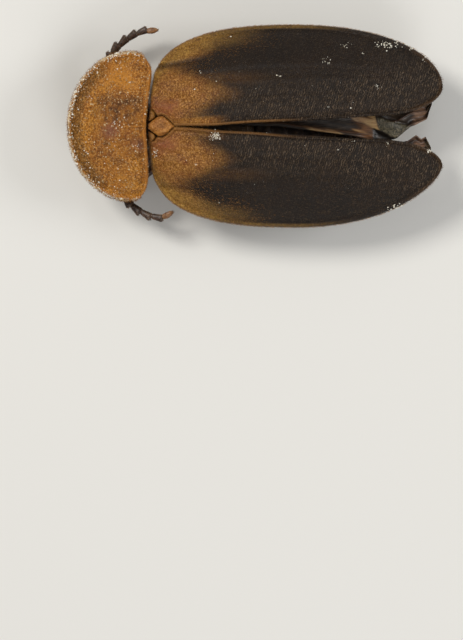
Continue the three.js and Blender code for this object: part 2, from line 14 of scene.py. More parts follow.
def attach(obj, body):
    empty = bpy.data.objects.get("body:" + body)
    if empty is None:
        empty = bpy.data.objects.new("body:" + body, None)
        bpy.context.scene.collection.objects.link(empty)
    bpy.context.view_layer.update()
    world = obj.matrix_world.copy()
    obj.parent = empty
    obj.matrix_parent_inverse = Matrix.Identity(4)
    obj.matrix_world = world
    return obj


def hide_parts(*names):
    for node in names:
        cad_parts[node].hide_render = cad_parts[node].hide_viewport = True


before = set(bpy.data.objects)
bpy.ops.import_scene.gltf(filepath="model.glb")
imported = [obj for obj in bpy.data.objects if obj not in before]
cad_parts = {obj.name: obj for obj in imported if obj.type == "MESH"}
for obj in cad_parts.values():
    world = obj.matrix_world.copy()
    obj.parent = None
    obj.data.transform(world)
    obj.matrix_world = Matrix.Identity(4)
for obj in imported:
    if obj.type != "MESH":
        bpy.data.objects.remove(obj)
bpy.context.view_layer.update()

MM = 0.001
SIDES = {"left": 1, "right": -1}

# Wing cases, as in the solids
CASE_BASE = -4.24
CASE_TIP = 7.8
CASE_WIDEST = 1.7
CASE_HALF = 4.22
CASE_TIP_X = 1.65
# Half of the gap between the wing cases: Y and distance from the middle
CASE_PARTING = {
    1: [(-3.4, 0.02), (-2.54, 0.06), (-1.43, 0.17), (-0.04, 0.23), (1.88, 0.4), (3.4, 0.47), (5, 0.54)],
    -1: [(-3.4, 0.015), (-1.7, 0.02), (-0.9, 0.09), (-0.04, 0.15), (1.88, 0.22), (3.4, 0.31), (5, 0.43)],
}
CASE_BACK_CURVE = {1: (2.13, 0.65), -1: (2.1, 0.5)}  # how the outer edge rounds off behind
CASE_ROUND_FROM = 5.0
CASE_CREST = 4.1
CASE_MARGIN = 2.15
CASE_THICK = 0.11

# Scutellum: Y and half-width from front to tail
SHIELD_OUTLINE = [(-4.42, 0.08), (-4.34, 0.16), (-4.2, 0.26), (-4.05, 0.38), (-3.92, 0.44), (-3.78, 0.43),
                  (-3.64, 0.34), (-3.5, 0.19), (-3.38, 0.07), (-3.31, 0.01)]
SHIELD_TOP = 3.58

# Pronotum
HOOD_FRONT = -7.79
HOOD_WIDEST = -5.2
HOOD_HALF = 3.1
HOOD_BACK = -4.45
# Hind edge of the pronotum: X and Y
HOOD_HIND = [(-3.1, -4.8), (-2.8, -4.52), (-2.47, -4.3), (-2.19, -4.28), (-1.9, -4.3), (-1.36, -4.38),
             (-0.8, -4.44), (-0.24, -4.49), (0.03, -4.51), (0.31, -4.49), (0.87, -4.46), (1.42, -4.43),
             (1.98, -4.42), (2.26, -4.44), (2.53, -4.5), (2.81, -4.64), (3.1, -4.95)]
HOOD_TOP = 3.62
HOOD_THICK = 0.2

# Head
HEAD = np.array([-0.15, -5.68, 1.98])
EYE_SPREAD = 0.67
EYE_HALF = np.array([0.48, 0.57, 0.54])

# How many hairs and grains each place has
CASE_HAIRS = 11000
CASE_FRINGE = 900
HOOD_HAIRS = 11000
HOOD_FRINGE = 1500
LEG_HAIRS = 14000
FEELER_HAIRS = 10000
HOOD_CRYSTALS = 1100
HOOD_GRANULES = 1500
BELLY_CRYSTALS = 2600
LUMP_CRYSTALS = 460

# Shortest and longest hairs
CASE_HAIR = (0.07, 0.13)
HOOD_HAIR = (0.05, 0.11)
FRINGE_HAIR = (0.05, 0.13)
LEG_HAIR = (0.06, 0.13)
FEELER_HAIR = (0.08, 0.16)

BACKWARDS = np.array([0.0, 1.0, 0.0])
SEED = 9

TABLE_REST = 0.155  # height of a shin's middle where it rests on the table

ANTENNAE = {
    "left": [(0.12, -6, 1.3), (0.6, -6, 1.12), (1.22, -5.96, 1.12), (2.01, -5.84, 1.1),
             (2.63, -5.64, 1.16), (3.17, -5.28, 1.24), (3.55, -4.8, 1.36), (3.76, -4.3, 1.5),
             (3.78, -3.82, 1.62), (3.58, -3.43, 1.7)],
    "right": [(-0.4, -6, 1.3), (-0.8, -6.05, 1.12), (-1.3, -6.12, 1.12), (-1.95, -6.12, 1.08),
              (-2.6, -6.08, 1.14), (-3.06, -5.95, 1.2), (-3.42, -5.62, 1.28), (-3.72, -5.2, 1.4),
              (-3.94, -4.7, 1.52), (-4.02, -4.06, 1.62)],
}

# Each leg: ends of the coxa, its half-width, ends of the femur and the tibia, three points of the tarsus
LEGS = {
    "front_left": dict(
        coxa=[(0.86, -4.84, 1.3), (0.24, -4.06, 1.16)], wide=0.17,
        femur=[(0.34, -3.96, 0.86), (2.38, -5.06, 0.66)], tibia=[(2.48, -4.94, 0.46), (0.88, -3.42, 0.32)],
        tarsus=[(0.78, -3.3, 0.36), (0.62, -2.84, 0.54), (0.36, -2.32, 0.56)]),
    "middle_left": dict(
        coxa=[(0.34, -3.14, 1.26), (0.34, -2.5, 1.16)], wide=0.36,
        femur=[(0.56, -2.48, 0.9), (2.86, -2.68, 0.68)], tibia=[(2.92, -2.52, 0.47), (0.72, -1.06, 0.3)],
        tarsus=[(0.58, -0.96, 0.3), (0.24, -0.5, 0.28), (-0.06, -0.06, 0.26)]),
    "hind_left": dict(
        coxa=[(1.4, -0.66, 1.26), (0.24, -0.3, 1.18)], wide=0.28,
        femur=[(0.5, -0.04, 0.96), (3.02, 1.04, 0.68)], tibia=[(3.08, 1.2, 0.47), (0.58, 1.62, 0.28)],
        tarsus=[(0.42, 1.68, 0.26), (-0.25, 2.26, 0.24), (-0.88, 2.82, 0.22)]),
    "front_right": dict(
        coxa=[(-1.06, -4.84, 1.3), (-0.44, -4.0, 1.16)], wide=0.17,
        femur=[(-0.42, -3.9, 0.88), (-2.4, -3.18, 0.6)], tibia=[(-2.38, -3.0, 0.4), (-0.3, -2.6, 0.26)],
        tarsus=[(-0.14, -2.5, 0.26), (0.32, -2.14, 0.24), (0.84, -2.06, 0.24)]),
    "middle_right": dict(
        coxa=[(-0.42, -3.14, 1.26), (-0.42, -2.5, 1.16)], wide=0.36,
        femur=[(-0.86, -2.84, 1.14), (-2.86, -3.42, 0.98)], tibia=[(-3.04, -3.26, 0.8), (-1.3, -1.18, 0.3)],
        tarsus=[(-1.2, -1.02, 0.3), (-0.96, -0.4, 0.28), (-0.68, 0.24, 0.28)]),
    "hind_right": dict(
        coxa=[(-1.54, -0.66, 1.26), (-0.38, -0.3, 1.18)], wide=0.28,
        femur=[(-0.86, -0.12, 0.86), (-3.08, -1.52, 0.68)], tibia=[(-3.22, -1.36, 0.47), (-1.9, 1.24, 0.28)],
        tarsus=[(-1.82, 1.38, 0.26), (-1.62, 1.95, 0.24), (-1.42, 2.5, 0.22)]),
}


def clamp01(t):
    return np.clip(t, 0.0, 1.0)


def mix(a, b, t):
    return a + (b - a) * t


def hill(t):
    """A smooth hill of height 1 between -1 and 1."""
    return np.maximum(0.0, 1.0 - np.square(t)) ** 2


def smooth(t):
    """A smooth step from 0 to 1."""
    t = clamp01(t)
    return t * t * (3 - 2 * t)


def rise(value, start, width):
    """A smooth step from 0 to 1 that begins at start."""
    return smooth((value - start) / width)


def fall(value, end, width):
    """A smooth step from 1 to 0 that is done at end."""
    return smooth((end - value) / width)


def ridge(value, top, half):
    """A smooth hill around top."""
    return hill((value - top) / half)


def spots(x, y, table, blur=0.0):
    """Round hills at the places of a table of X, Y, radius and strength."""
    return sum(strength * hill((np.hypot(x - at_x, y - at_y) + blur) / radius)
               for at_x, at_y, radius, strength in table)


def unit(vectors):
    return vectors / np.maximum(np.linalg.norm(vectors, axis=-1, keepdims=True), 1e-12)


def along(pairs, at):
    """Straight lines from one (position, value) pair to the next."""
    positions, values = zip(*pairs)
    return np.interp(at, positions, values)


def noise(points, frequency, seed):
    """Smooth noise from -1 to 1, with about one hill in 1 / frequency millimetres."""
    place = np.asarray(points, float) * frequency
    cell = np.floor(place).astype(np.int64)
    share = place - cell
    share = share * share * (3 - 2 * share)
    total = np.zeros(place.shape[:-1])
    for corner in itertools.product((0, 1), repeat=3):
        at = cell + np.array(corner)
        code = (at[..., 0] * 73856093) ^ (at[..., 1] * 19349663) ^ (at[..., 2] * 83492791) ^ (seed * 26544357)
        code = ((code ^ (code >> 13)) * 1274126177) & 0xFFFFFFFF
        code = (code ^ (code >> 16)) & 0xFFFF
        weight = np.prod(np.where(np.array(corner) == 1, share, 1 - share), axis=-1)
        total += weight * code / 32767.5
    return total - 1.0


def rough(points, frequency, seed, octaves=3):
    """Noise with finer noise on it."""
    return sum(noise(points, frequency * 2 ** n, seed + n) * 0.5 ** n for n in range(octaves)) / 1.6


# Meshes

def grid_quads(index):
    """The quads of a grid of vertex numbers."""
    return np.stack([index[:-1, :-1], index[:-1, 1:], index[1:, 1:], index[1:, :-1]], -1).reshape(-1, 4)


def volume(points, faces):
    total = 0.0
    for block in faces:
        a = points[block[:, 0]]
        for n in range(1, block.shape[1] - 1):
            total += np.einsum("ij,ij->", a, np.cross(points[block[:, n]], points[block[:, n + 1]]))
    return total


class Shape:
    """Closed surfaces in millimetres, with named numbers at the vertices for the materials."""

    def __init__(self, marks=()):
        self.points = []
        self.faces = {3: [], 4: []}
        self.marks = {name: [] for name in marks}
        self.patches = []
        self.count = 0

    def add(self, points, faces, **marks):
        """Adds a closed surface; its faces are turned outwards."""
        flipped = volume(points, faces) < 0
        for block in faces:
            block = block[:, ::-1] if flipped else block
            self.faces[block.shape[1]].append(block + self.count)
        self.points.append(points)
        for name, values in self.marks.items():
            values.append(np.broadcast_to(np.asarray(marks.get(name, 0.0), float).reshape(-1), len(points)))
        self.count += len(points)

    def add_tube(self, grid, **marks):
        """Adds a tube from its rings."""
        sides = grid.shape[1]
        self.add(*close_tube(grid), **{name: spread(values, sides) for name, values in marks.items()})

    def build(self, name, material, nodes=()):
        name = name + "_skin" if nodes else name
        points = np.concatenate(self.points)
        blocks = [np.concatenate(blocks) for blocks in self.faces.values() if blocks]
        mesh = bpy.data.meshes.new(name)
        corners = np.concatenate([block.reshape(-1) for block in blocks])
        sizes = np.concatenate([np.full(len(block), block.shape[1]) for block in blocks])
        mesh.vertices.add(len(points))
        mesh.vertices.foreach_set("co", (points * MM).reshape(-1))
        mesh.loops.add(len(corners))
        mesh.loops.foreach_set("vertex_index", corners)
        mesh.polygons.add(len(sizes))
        mesh.polygons.foreach_set("loop_start", np.concatenate([[0], np.cumsum(sizes)[:-1]]))
        mesh.update(calc_edges=True)
        mesh.validate()
        mesh.polygons.foreach_set("use_smooth", np.full(len(sizes), True))
        for mark, values in self.marks.items():
            attribute = mesh.attributes.new(mark, "FLOAT", "POINT")
            attribute.data.foreach_set("value", np.concatenate(values))
        if self.patches:
            patch = mesh.uv_layers.new(name="OFBake")
            patch.data.foreach_set("uv", np.concatenate(self.patches)[corners].reshape(-1))
        mesh.materials.append(material)
        piece = bpy.data.objects.new(name, mesh)
        bpy.context.scene.collection.objects.link(piece)
        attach(piece, "root")
        if nodes:
            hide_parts(*nodes)
        return piece


def leaf(x, y, upper, lower):
    """A closed plate between two height fields that share their border: points, faces, a function that puts
    values of the grid on the vertices, and which vertices are on the lower face."""
    rows, columns = x.shape
    count = rows * columns
    above = np.arange(count).reshape(rows, columns)
    below = above + count
    for edge in (np.s_[0, :], np.s_[-1, :], np.s_[:, 0], np.s_[:, -1]):
        below[edge] = above[edge]
    points = np.concatenate([np.stack([x, y, height], -1).reshape(-1, 3) for height in (upper, lower)])
    faces = np.concatenate([grid_quads(above), grid_quads(below)[:, ::-1]])
    used, numbers = np.unique(faces, return_inverse=True)

    def pick(values):
        return np.broadcast_to(values, x.shape).reshape(-1)[used % count]

    return points[used], [numbers.reshape(-1, 4)], pick, used >= count


def quarter_circle(t):
    return np.sqrt(1 - (1 - clamp01(t)) ** 2)


def round_border(upper, under, border, radius):
    """Brings two height fields together along a border."""
    share = quarter_circle(border / radius)
    middle = (upper + under) / 2
    return mix(middle, upper, share), mix(middle, under, share)


def directions(path):
    """Unit directions along a path of points."""
    return unit(np.gradient(path, axis=0))


def around(count):
    """Angles of the places on a ring."""
    return np.arange(count) / count * 2 * math.pi


def boxy(t, power):
    """A sine or cosine made boxier by a power under 1."""
    return np.sign(t) * np.abs(t) ** power


def ring(columns):
    """Cosines and sines around a ring, as a row."""
    angle = around(columns)
    return np.cos(angle)[None], np.sin(angle)[None]


def tube_grid(path, wide, high, sides=20, square=1.0, lean=0.0):
    """Rings of a tube with level sections, as a grid of points that closes on itself. A square under 1 makes
    the sections boxy, and lean shifts each ring sideways, in half-widths."""
    path = np.asarray(path, float)
    forward = directions(path)
    across = unit(np.cross(forward, [0.0, 0.0, 1.0]))
    upward = np.cross(across, forward)
    c = boxy(np.cos(around(sides)), square)
    s = boxy(np.sin(around(sides)), square)
    wide, high, lean = (np.broadcast_to(v, len(path)) for v in (wide, high, lean))
    aside = wide[:, None] * (c[None, :] + lean[:, None])
    above = high[:, None] * s
    return path[:, None] + across[:, None] * aside[..., None] + upward[:, None] * above[..., None]


def close_tube(grid):
    """Points and faces of a tube from its rings, with a cap on each end."""
    rings, sides = grid.shape[:2]
    points = np.concatenate([grid.reshape(-1, 3), grid[0].mean(0)[None], grid[-1].mean(0)[None]])
    index = np.arange(rings * sides).reshape(rings, sides)
    index = np.concatenate([index, index[:, :1]], axis=1)
    side = np.arange(sides)
    following = (side + 1) % sides
    last = (rings - 1) * sides
    start = np.stack([np.full(sides, rings * sides), following, side], -1)
    stop = np.stack([np.full(sides, rings * sides + 1), last + side, last + following], -1)
    return points, [grid_quads(index), np.concatenate([start, stop])]


def spread(values, sides):
    """A mark for a closed tube's vertices, from one value, one for each ring or one for each point."""
    values = np.asarray(values, float)
    if values.ndim == 0:
        return values
    if values.ndim == 1:
        values = np.repeat(values[:, None], sides, axis=1)
    return np.concatenate([values.reshape(-1), [values[0].mean(), values[-1].mean()]])


def curve(points, count):
    """A smooth path through points, evenly spaced."""
    points = np.asarray(points, float)
    padded = np.concatenate([[2 * points[0] - points[1]], points, [2 * points[-1] - points[-2]]])
    pieces = []
    for a, b, c, d in zip(padded, padded[1:], padded[2:], padded[3:]):
        t = np.linspace(0, 1, 24, endpoint=False)[:, None]
        pieces.append(0.5 * (2 * b + (c - a) * t + (2 * a - 5 * b + 4 * c - d) * t**2
                             + (3 * b - a - 3 * c + d) * t**3))
    dense = np.concatenate(pieces + [points[-1:]])
    length = np.concatenate([[0], np.cumsum(np.linalg.norm(np.diff(dense, axis=0), axis=1))])
    at = np.linspace(0, length[-1], count)
    return np.stack([np.interp(at, length, dense[:, k]) for k in range(3)], -1)


def ellipsoid_grid(centre, half, rings=40, sides=56):
    """Rings of an ellipsoid from its front to its back."""
    tilt = np.linspace(0.02, math.pi - 0.02, rings)
    angle = around(sides)
    out = np.sin(tilt)[:, None]
    shape = np.stack([out * np.cos(angle), -np.cos(tilt)[:, None] * np.ones(sides), out * np.sin(angle)], -1)
    return np.asarray(centre) + shape * np.asarray(half)


# Hairs and grains

def closed_columns(grid):
    """A ring's grid with its first column once more at the end."""
    return np.concatenate([grid, grid[:, :1]], axis=1)


def scatter(grids, count, rng, weights=None):
    """Random places on grids of points, even by area times weight: points, outward directions, unwrap
    places and the number of the grid. Each grid fills its own strip of the unwrap."""
    cells = []
    for n, grid in enumerate(grids):
        a, b, c, d = grid[:-1, :-1], grid[:-1, 1:], grid[1:, 1:], grid[1:, :-1]
        cross = np.cross(c - a, d - b)
        area = np.linalg.norm(cross, axis=-1) / 2
        if weights is not None and weights[n] is not None:
            area = area * weights[n][:-1, :-1]
        rows, columns = np.indices(area.shape)
        cells.append((area.reshape(-1), unit(cross).reshape(-1, 3), rows.reshape(-1), columns.reshape(-1),
                      np.full(area.size, n)))
    area, outward, rows, columns, which = (np.concatenate(part) for part in zip(*cells))
    chosen = rng.choice(len(area), size=count, p=area / area.sum())
    s, t = rng.random((2, count))
    points = np.empty((count, 3))
    places = np.empty((count, 2))
    for n, grid in enumerate(grids):
        mine = np.nonzero(which[chosen] == n)[0]
        i, j = rows[chosen[mine]], columns[chosen[mine]]
        u, v = s[mine, None], t[mine, None]
        near = grid[i, j] * (1 - v) + grid[i, j + 1] * v
        far = grid[i + 1, j] * (1 - v) + grid[i + 1, j + 1] * v
        points[mine] = near * (1 - u) + far * u
        places[mine, 0] = (i + s[mine]) / (grid.shape[0] - 1)
        places[mine, 1] = (n + (j + t[mine]) / (grid.shape[1] - 1)) / len(grids)
    return points, outward[chosen], places * 0.99 + 0.005, which[chosen]


PATCH = 0.003  # size of a hair's patch on the unwrap


def add_hairs(shape, roots, outward, direction, length, radius, places, lift=0.35):
    """Bent tapered hairs of three sides."""
    count = len(roots)
    length = np.broadcast_to(length, count)[:, None]
    radius = np.broadcast_to(radius, count)[:, None]
    lean = unit(direction - outward * np.sum(direction * outward, -1, keepdims=True))
    aside = np.cross(outward, lean)
    middle = roots + length * (0.5 * lean + lift * 0.75 * outward)
    tip = roots + length * (lean + lift * outward)
    bends = []
    for centre, size in ((roots - outward * radius * 2, radius), (middle, radius * 0.7)):
        for k in range(3):
            angle = 2 * math.pi * k / 3
            bends.append(centre + size * (math.cos(angle) * aside + math.sin(angle) * outward))
    points = np.stack([*bends, tip], 1).reshape(-1, 3)
    first = (np.arange(count) * 7)[:, None]
    sides = [first + np.array([[k, (k + 1) % 3, 3 + (k + 1) % 3, 3 + k]]) for k in range(3)]
    tops = [first + np.array([[3 + k, 3 + (k + 1) % 3, 6]]) for k in range(3)]
    shape.faces[4].append(np.concatenate(sides) + shape.count)
    shape.faces[3].append(np.concatenate([*tops, first + np.array([[2, 1, 0]])]) + shape.count)
    shape.points.append(points)
    corners = np.array([(0, 0), (0.5, 0), (1, 0), (0, 0.6), (0.5, 0.6), (1, 0.6), (0.5, 1)]) * PATCH
    shape.patches.append((places[:, None] + corners[None]).reshape(-1, 2))
    for values in shape.marks.values():
        values.append(np.zeros(len(points)))
    shape.count += len(points)


def icosahedron():
    golden = (1 + math.sqrt(5)) / 2
    points = [(s, t * golden, 0) for s in (-1, 1) for t in (-1, 1)]
    points = np.array(points + [(0, x, y) for x, y, _ in points] + [(y, 0, x) for x, y, _ in points], float)
    size = np.linalg.norm(points[0])
    near = np.linalg.norm(points[:, None] - points[None], axis=-1) < 2.01
    faces = [f for f in itertools.combinations(range(12), 3) if near[f[0], f[1]] and near[f[1], f[2]]
             and near[f[0], f[2]]]
    turned = []
    for a, b, c in faces:
        facing = np.dot(np.cross(points[b] - points[a], points[c] - points[a]), points[a])
        turned.append((a, b, c) if facing > 0 else (a, c, b))
    return points / size, np.array(turned)


GRAIN_POINTS, GRAIN_FACES = icosahedron()


def add_grains(shape, centres, sizes, rng, places):
    """Rough lumps, each a jittered icosahedron."""
    count = len(centres)
    jitter = 1 + 0.5 * (rng.random((count, 12, 1)) - 0.5)
    stretch = 0.6 + 0.8 * rng.random((count, 1, 3))
    points = GRAIN_POINTS[None] * jitter * stretch * np.asarray(sizes)[:, None, None] + centres[:, None]
    faces = np.arange(count)[:, None, None] * 12 + GRAIN_FACES[None]
    shape.faces[3].append(faces.reshape(-1, 3) + shape.count)
    shape.points.append(points.reshape(-1, 3))
    shape.patches.append(np.repeat(places, 12, axis=0) + np.tile(GRAIN_POINTS[:, :2] * PATCH / 2, (count, 1)))
    for values in shape.marks.values():
        values.append(np.zeros(count * 12))
    shape.count += count * 12


# Materials

def tone(code):
    """A linear colour from one written as on a screen."""
    parts = [int(code[n:n + 2], 16) / 255 for n in (1, 3, 5)]
    return tuple(p / 12.92 if p <= 0.04045 else ((p + 0.055) / 1.055) ** 2.4 for p in parts) + (1.0,)


class Look:
    """A material of nodes. Its textures are placed in millimetres."""

    def __init__(self, name, **sockets):
        self.material = bpy.data.materials.new(name)
        self.material.use_nodes = True
        self.tree = self.material.node_tree
        self.shader = self.tree.nodes["Principled BSDF"]
        for socket, value in sockets.items():
            self.shader.inputs[socket.replace("_", " ")].default_value = value
        coordinates = self.node("ShaderNodeTexCoord")
        self.place = self.node("ShaderNodeVectorMath", {0: coordinates.outputs["Object"], 3: 1 / MM},
                               operation="SCALE").outputs[0]

    def node(self, kind, values=None, **settings):
        made = self.tree.nodes.new(kind)
        for name, value in settings.items():
            setattr(made, name, value)
        for socket, value in (values or {}).items():
            if isinstance(value, bpy.types.NodeSocket):
                self.tree.links.new(value, made.inputs[socket])
            else:
                made.inputs[socket].default_value = value
        return made

    def mark(self, name):
        return self.node("ShaderNodeAttribute", attribute_name=name).outputs["Fac"]

    def part(self, name, factor):
        return self.math("MULTIPLY", self.mark(name), factor)

    def noise(self, scale, detail=3.0, roughness=0.6, distortion=0.0, stretch=(1, 1, 1)):
        place = self.node("ShaderNodeVectorMath", {0: self.place, 1: stretch}, operation="MULTIPLY")
        values = {"Vector": place.outputs[0], "Scale": scale, "Detail": detail, "Roughness": roughness,
                  "Distortion": distortion}
        return self.node("ShaderNodeTexNoise", values).outputs["Fac"]

    def ripples(self, scale, distortion, detail_scale, slant):
        """Short wavy ridges that run mostly across the insect."""
        turn = (0, 0, math.radians(slant))
        place = self.node("ShaderNodeMapping", {"Vector": self.place, "Rotation": turn})
        values = {"Vector": place.outputs[0], "Scale": scale, "Distortion": distortion, "Detail": 1.5,
                  "Detail Scale": detail_scale}
        return self.node("ShaderNodeTexWave", values, bands_direction="Y").outputs["Fac"]

    def cells(self, scale):
        return self.node("ShaderNodeTexVoronoi", {"Vector": self.place, "Scale": scale}).outputs["Distance"]

    def math(self, operation, a, b=0.0, c=0.0, clamp=False):
        made = self.node("ShaderNodeMath", {0: a, 1: b, 2: c}, operation=operation, use_clamp=clamp)
        return made.outputs[0]

    def range(self, value, low, high, to_low=0.0, to_high=1.0):
        return self.node("ShaderNodeMapRange", {"Value": value, "From Min": low, "From Max": high,
                                                "To Min": to_low, "To Max": to_high}).outputs["Result"]

    def ramp(self, value, stops):
        made = self.node("ShaderNodeValToRGB", {"Fac": value})
        elements = made.color_ramp.elements
        while len(elements) < len(stops):
            elements.new(0.5)
        for element, (position, code) in zip(elements, stops):
            element.position = position
            element.color = tone(code)
        return made.outputs["Color"]

    def blend(self, share, a, b):
        a, b = (tone(c) if isinstance(c, str) else c for c in (a, b))
        return self.node("ShaderNodeMix", {0: share, 6: a, 7: b}, data_type="RGBA").outputs[2]

    def fleck(self, color, code, value, low, high, most):
        """Blends a colour in, up to a share of most, as a value goes from low to high."""
        return self.blend(self.range(value, low, high, 0, most), color, code)

    def bump(self, height, distance, strength=1.0):
        """Adds relief, with its depth in millimetres."""
        values = {"Height": height, "Distance": distance * MM, "Strength": strength}
        normal = self.shader.inputs["Normal"]
        if normal.is_linked:
            values["Normal"] = normal.links[0].from_socket
        self.tree.links.new(self.node("ShaderNodeBump", values).outputs["Normal"], normal)

    def set(self, socket, value):
        self.tree.links.new(value, self.shader.inputs[socket])
        return self


def hood_look():
    """Granular orange-brown cuticle, mottled on the disc and paler on the beaded rim."""
    look = Look("hood_cuticle", Specular_IOR_Level=0.35)
    patches = look.noise(1.3, 4, 0.6)
    mottle = look.noise(5, 4, 0.7)
    grain = look.noise(13, 3, 0.75)
    color = look.ramp(patches, [(0.3, "#925213"), (0.48, "#ae6812"), (0.62, "#be7a16"), (0.75, "#a36014")])
    color = look.fleck(color, "#6b3d0c", mottle, 0.5, 0.72, 0.7)
    color = look.fleck(color, "#dca555", grain, 0.5, 0.64, 0.85)
    color = look.fleck(color, "#52300e", grain, 0.5, 0.37, 0.75)
    color = look.blend(look.math("MULTIPLY", look.mark("disc"), look.range(mottle, 0.3, 0.7, 0.1, 0.6)),
                       color, "#854716")
    shine = look.math("MULTIPLY", look.mark("glow"), look.range(grain, 0.36, 0.6, 0.4, 1.0), clamp=True)
    color = look.blend(shine, color, "#cf8a30")
    blotch = look.math("MULTIPLY", look.mark("blotch"), look.range(mottle, 0.36, 0.6, 0.3, 0.9), clamp=True)
    color = look.blend(blotch, color, "#42220a")
    rosy = look.math("MULTIPLY", look.mark("rosy"), look.range(grain, 0.35, 0.65, 0.4, 0.9), clamp=True)
    color = look.blend(rosy, color, "#96604a")
    band = look.math("MULTIPLY", look.mark("band"), look.range(grain, 0.38, 0.6, 0.9, 0.35))
    color = look.blend(band, color, "#54380f")
    color = look.blend(look.part("rim", 0.8), color, "#c07a26")
    color = look.blend(look.part("under", 0.92), color,
                       look.ramp(mottle, [(0.3, "#b3782f"), (0.5, "#d09a50"), (0.7, "#e4ba7a")]))
    color = look.blend(look.mark("hollow"), color, look.ramp(mottle, [(0.3, "#2e2308"), (0.7, "#6a4f14")]))
    dots = look.range(look.cells(8.5), 0.06, 0.3, 1, 0)
    share = look.math("MULTIPLY", dots, look.range(look.noise(3.5, 3, 0.7), 0.42, 0.6, 0.2, 0.9))
    color = look.blend(share, color, "#ecc994")
    look.set("Base Color", color)
    look.set("Roughness", look.range(grain, 0.3, 0.7, 0.65, 0.45))
    look.bump(dots, 0.02, 0.9)
    look.bump(look.range(mottle, 0.3, 0.7), 0.06, 0.8)
    look.bump(grain, 0.07, 1.0)
    look.bump(look.noise(34, 2, 0.6), 0.014, 0.8)
    return look.material


def case_look():
    """Blackish leathery cuticle with wrinkled pits, orange-brown at the base and edges."""
    look = Look("wing_case_cuticle", Specular_IOR_Level=0.22)
    waves = look.ripples(3.3, 6.6, 2.3, 16)
    broken = look.range(look.noise(6, 2, 0.6), 0.36, 0.56, 0.45, 1.0)
    crests = look.math("MULTIPLY", waves, broken)
    rugged = look.math("MULTIPLY", crests, look.mark("rugged"))
    broad = look.noise(0.8, 3, 0.6)
    # The wrinkle crests are painted paler than the pits between them: painted highlights on the crests, on
    # top of their bump.
    color = look.ramp(rugged, [(0.0, "#120b06"), (0.4, "#1c130b"), (0.7, "#352a1f"), (1.0, "#5c4d3d")])
    color = look.blend(look.part("under", 0.8), color, "#41342a")
    color = look.fleck(color, "#281a0e", broad, 0.35, 0.7, 0.4)
    mottle = look.noise(2.4, 4, 0.65)
    speckle = look.noise(15, 3, 0.75)
    orange = look.blend(look.range(mottle, 0.3, 0.7), "#6e3a12", "#8f611f")
    orange = look.fleck(orange, "#cf9a58", speckle, 0.5, 0.64, 0.75)
    orange = look.fleck(orange, "#4a220c", speckle, 0.48, 0.36, 0.6)
    orange = look.blend(look.part("rosy", 0.6), orange, "#8a4a34")
    orange = look.blend(look.part("under", 0.85), orange, "#bb8036")
    color = look.blend(look.mark("base"), color, orange)
    olive = look.blend(look.range(mottle, 0.3, 0.7), "#6e4b1b", "#94702e")
    olive = look.fleck(olive, "#c39a52", speckle, 0.5, 0.66, 0.7)
    olive = look.fleck(olive, "#3e2808", speckle, 0.48, 0.36, 0.6)
    color = look.blend(look.mark("edge"), color, olive)
    color = look.blend(look.part("bead", 0.85), color, "#80582c")
    color = look.blend(look.part("crease", 0.75), color, "#170d07")
    look.set("Base Color", color)
    look.set("Roughness", look.range(crests, 0, 1, 0.6, 0.4))
    look.bump(look.math("MULTIPLY_ADD", rugged, 0.8, look.math("MULTIPLY", crests, 0.2)), 0.03, 0.9)
    look.bump(look.noise(38, 2, 0.5), 0.008, 0.7)
    return look.material


def down_look(name, dark, light, roughness=0.35):
    """Hairs, darker or lighter by place."""
    look = Look(name, Roughness=roughness)
    look.set("Base Color", look.ramp(look.noise(6, 2), [(0.35, dark), (0.65, light)]))
    return look.material


def membrane_look():
    """Smoky folded wing, brown along the veins and pale where it is stretched."""
    look = Look("wing_membrane", Roughness=0.42)
    streak = look.noise(3, 4, 0.65, 0.4, (4, 0.7, 1))
    color = look.ramp(streak, [(0.3, "#17110d"), (0.5, "#2c2119"), (0.7, "#46382b")])
    color = look.blend(look.mark("brown"), color, look.ramp(streak, [(0.35, "#3a2210"), (0.65, "#7a5230")]))
    speckle = look.noise(14, 3, 0.7)
    color = look.blend(look.mark("grey"), color, look.ramp(speckle, [(0.35, "#221f15"), (0.5, "#494332"),
                                                                     (0.65, "#7a705a")]))
    color = look.blend(look.mark("tan"), color, look.ramp(streak, [(0.3, "#95683a"), (0.7, "#c2a473")]))
    color = look.blend(look.mark("pink"), color, look.ramp(streak, [(0.36, "#38241a"), (0.62, "#866750")]))
    color = look.blend(look.part("vein", 0.6), color, "#4e2e16")
    # The dark mark is a painted shadow on the right wing.
    color = look.blend(look.part("dark", 0.9), color, "#0d0906")
    look.set("Base Color", color)
    look.bump(look.noise(5, 3, 0.5, 0.3, (3.5, 0.8, 1)), 0.015, 0.6)
    look.bump(look.noise(30, 2, 0.6), 0.008, 0.5)
    return look.material


def horn_look():
    """Dark brown cuticle of legs and feelers, orange where marked warm."""
    look = Look("leg_cuticle")
    fine = look.noise(9, 4, 0.65)
    color = look.ramp(fine, [(0.3, "#190e08"), (0.5, "#2f1b11"), (0.72, "#5c3d2d")])
    color = look.blend(look.mark("warm"), color, look.ramp(fine, [(0.3, "#6c4119"), (0.55, "#966330"),
                                                                 (0.8, "#bd945c")]))
    look.set("Base Color", color)
    look.set("Roughness", look.range(fine, 0.3, 0.7, 0.45, 0.28))
    look.bump(look.noise(26, 3, 0.65), 0.014, 0.8)
    return look.material


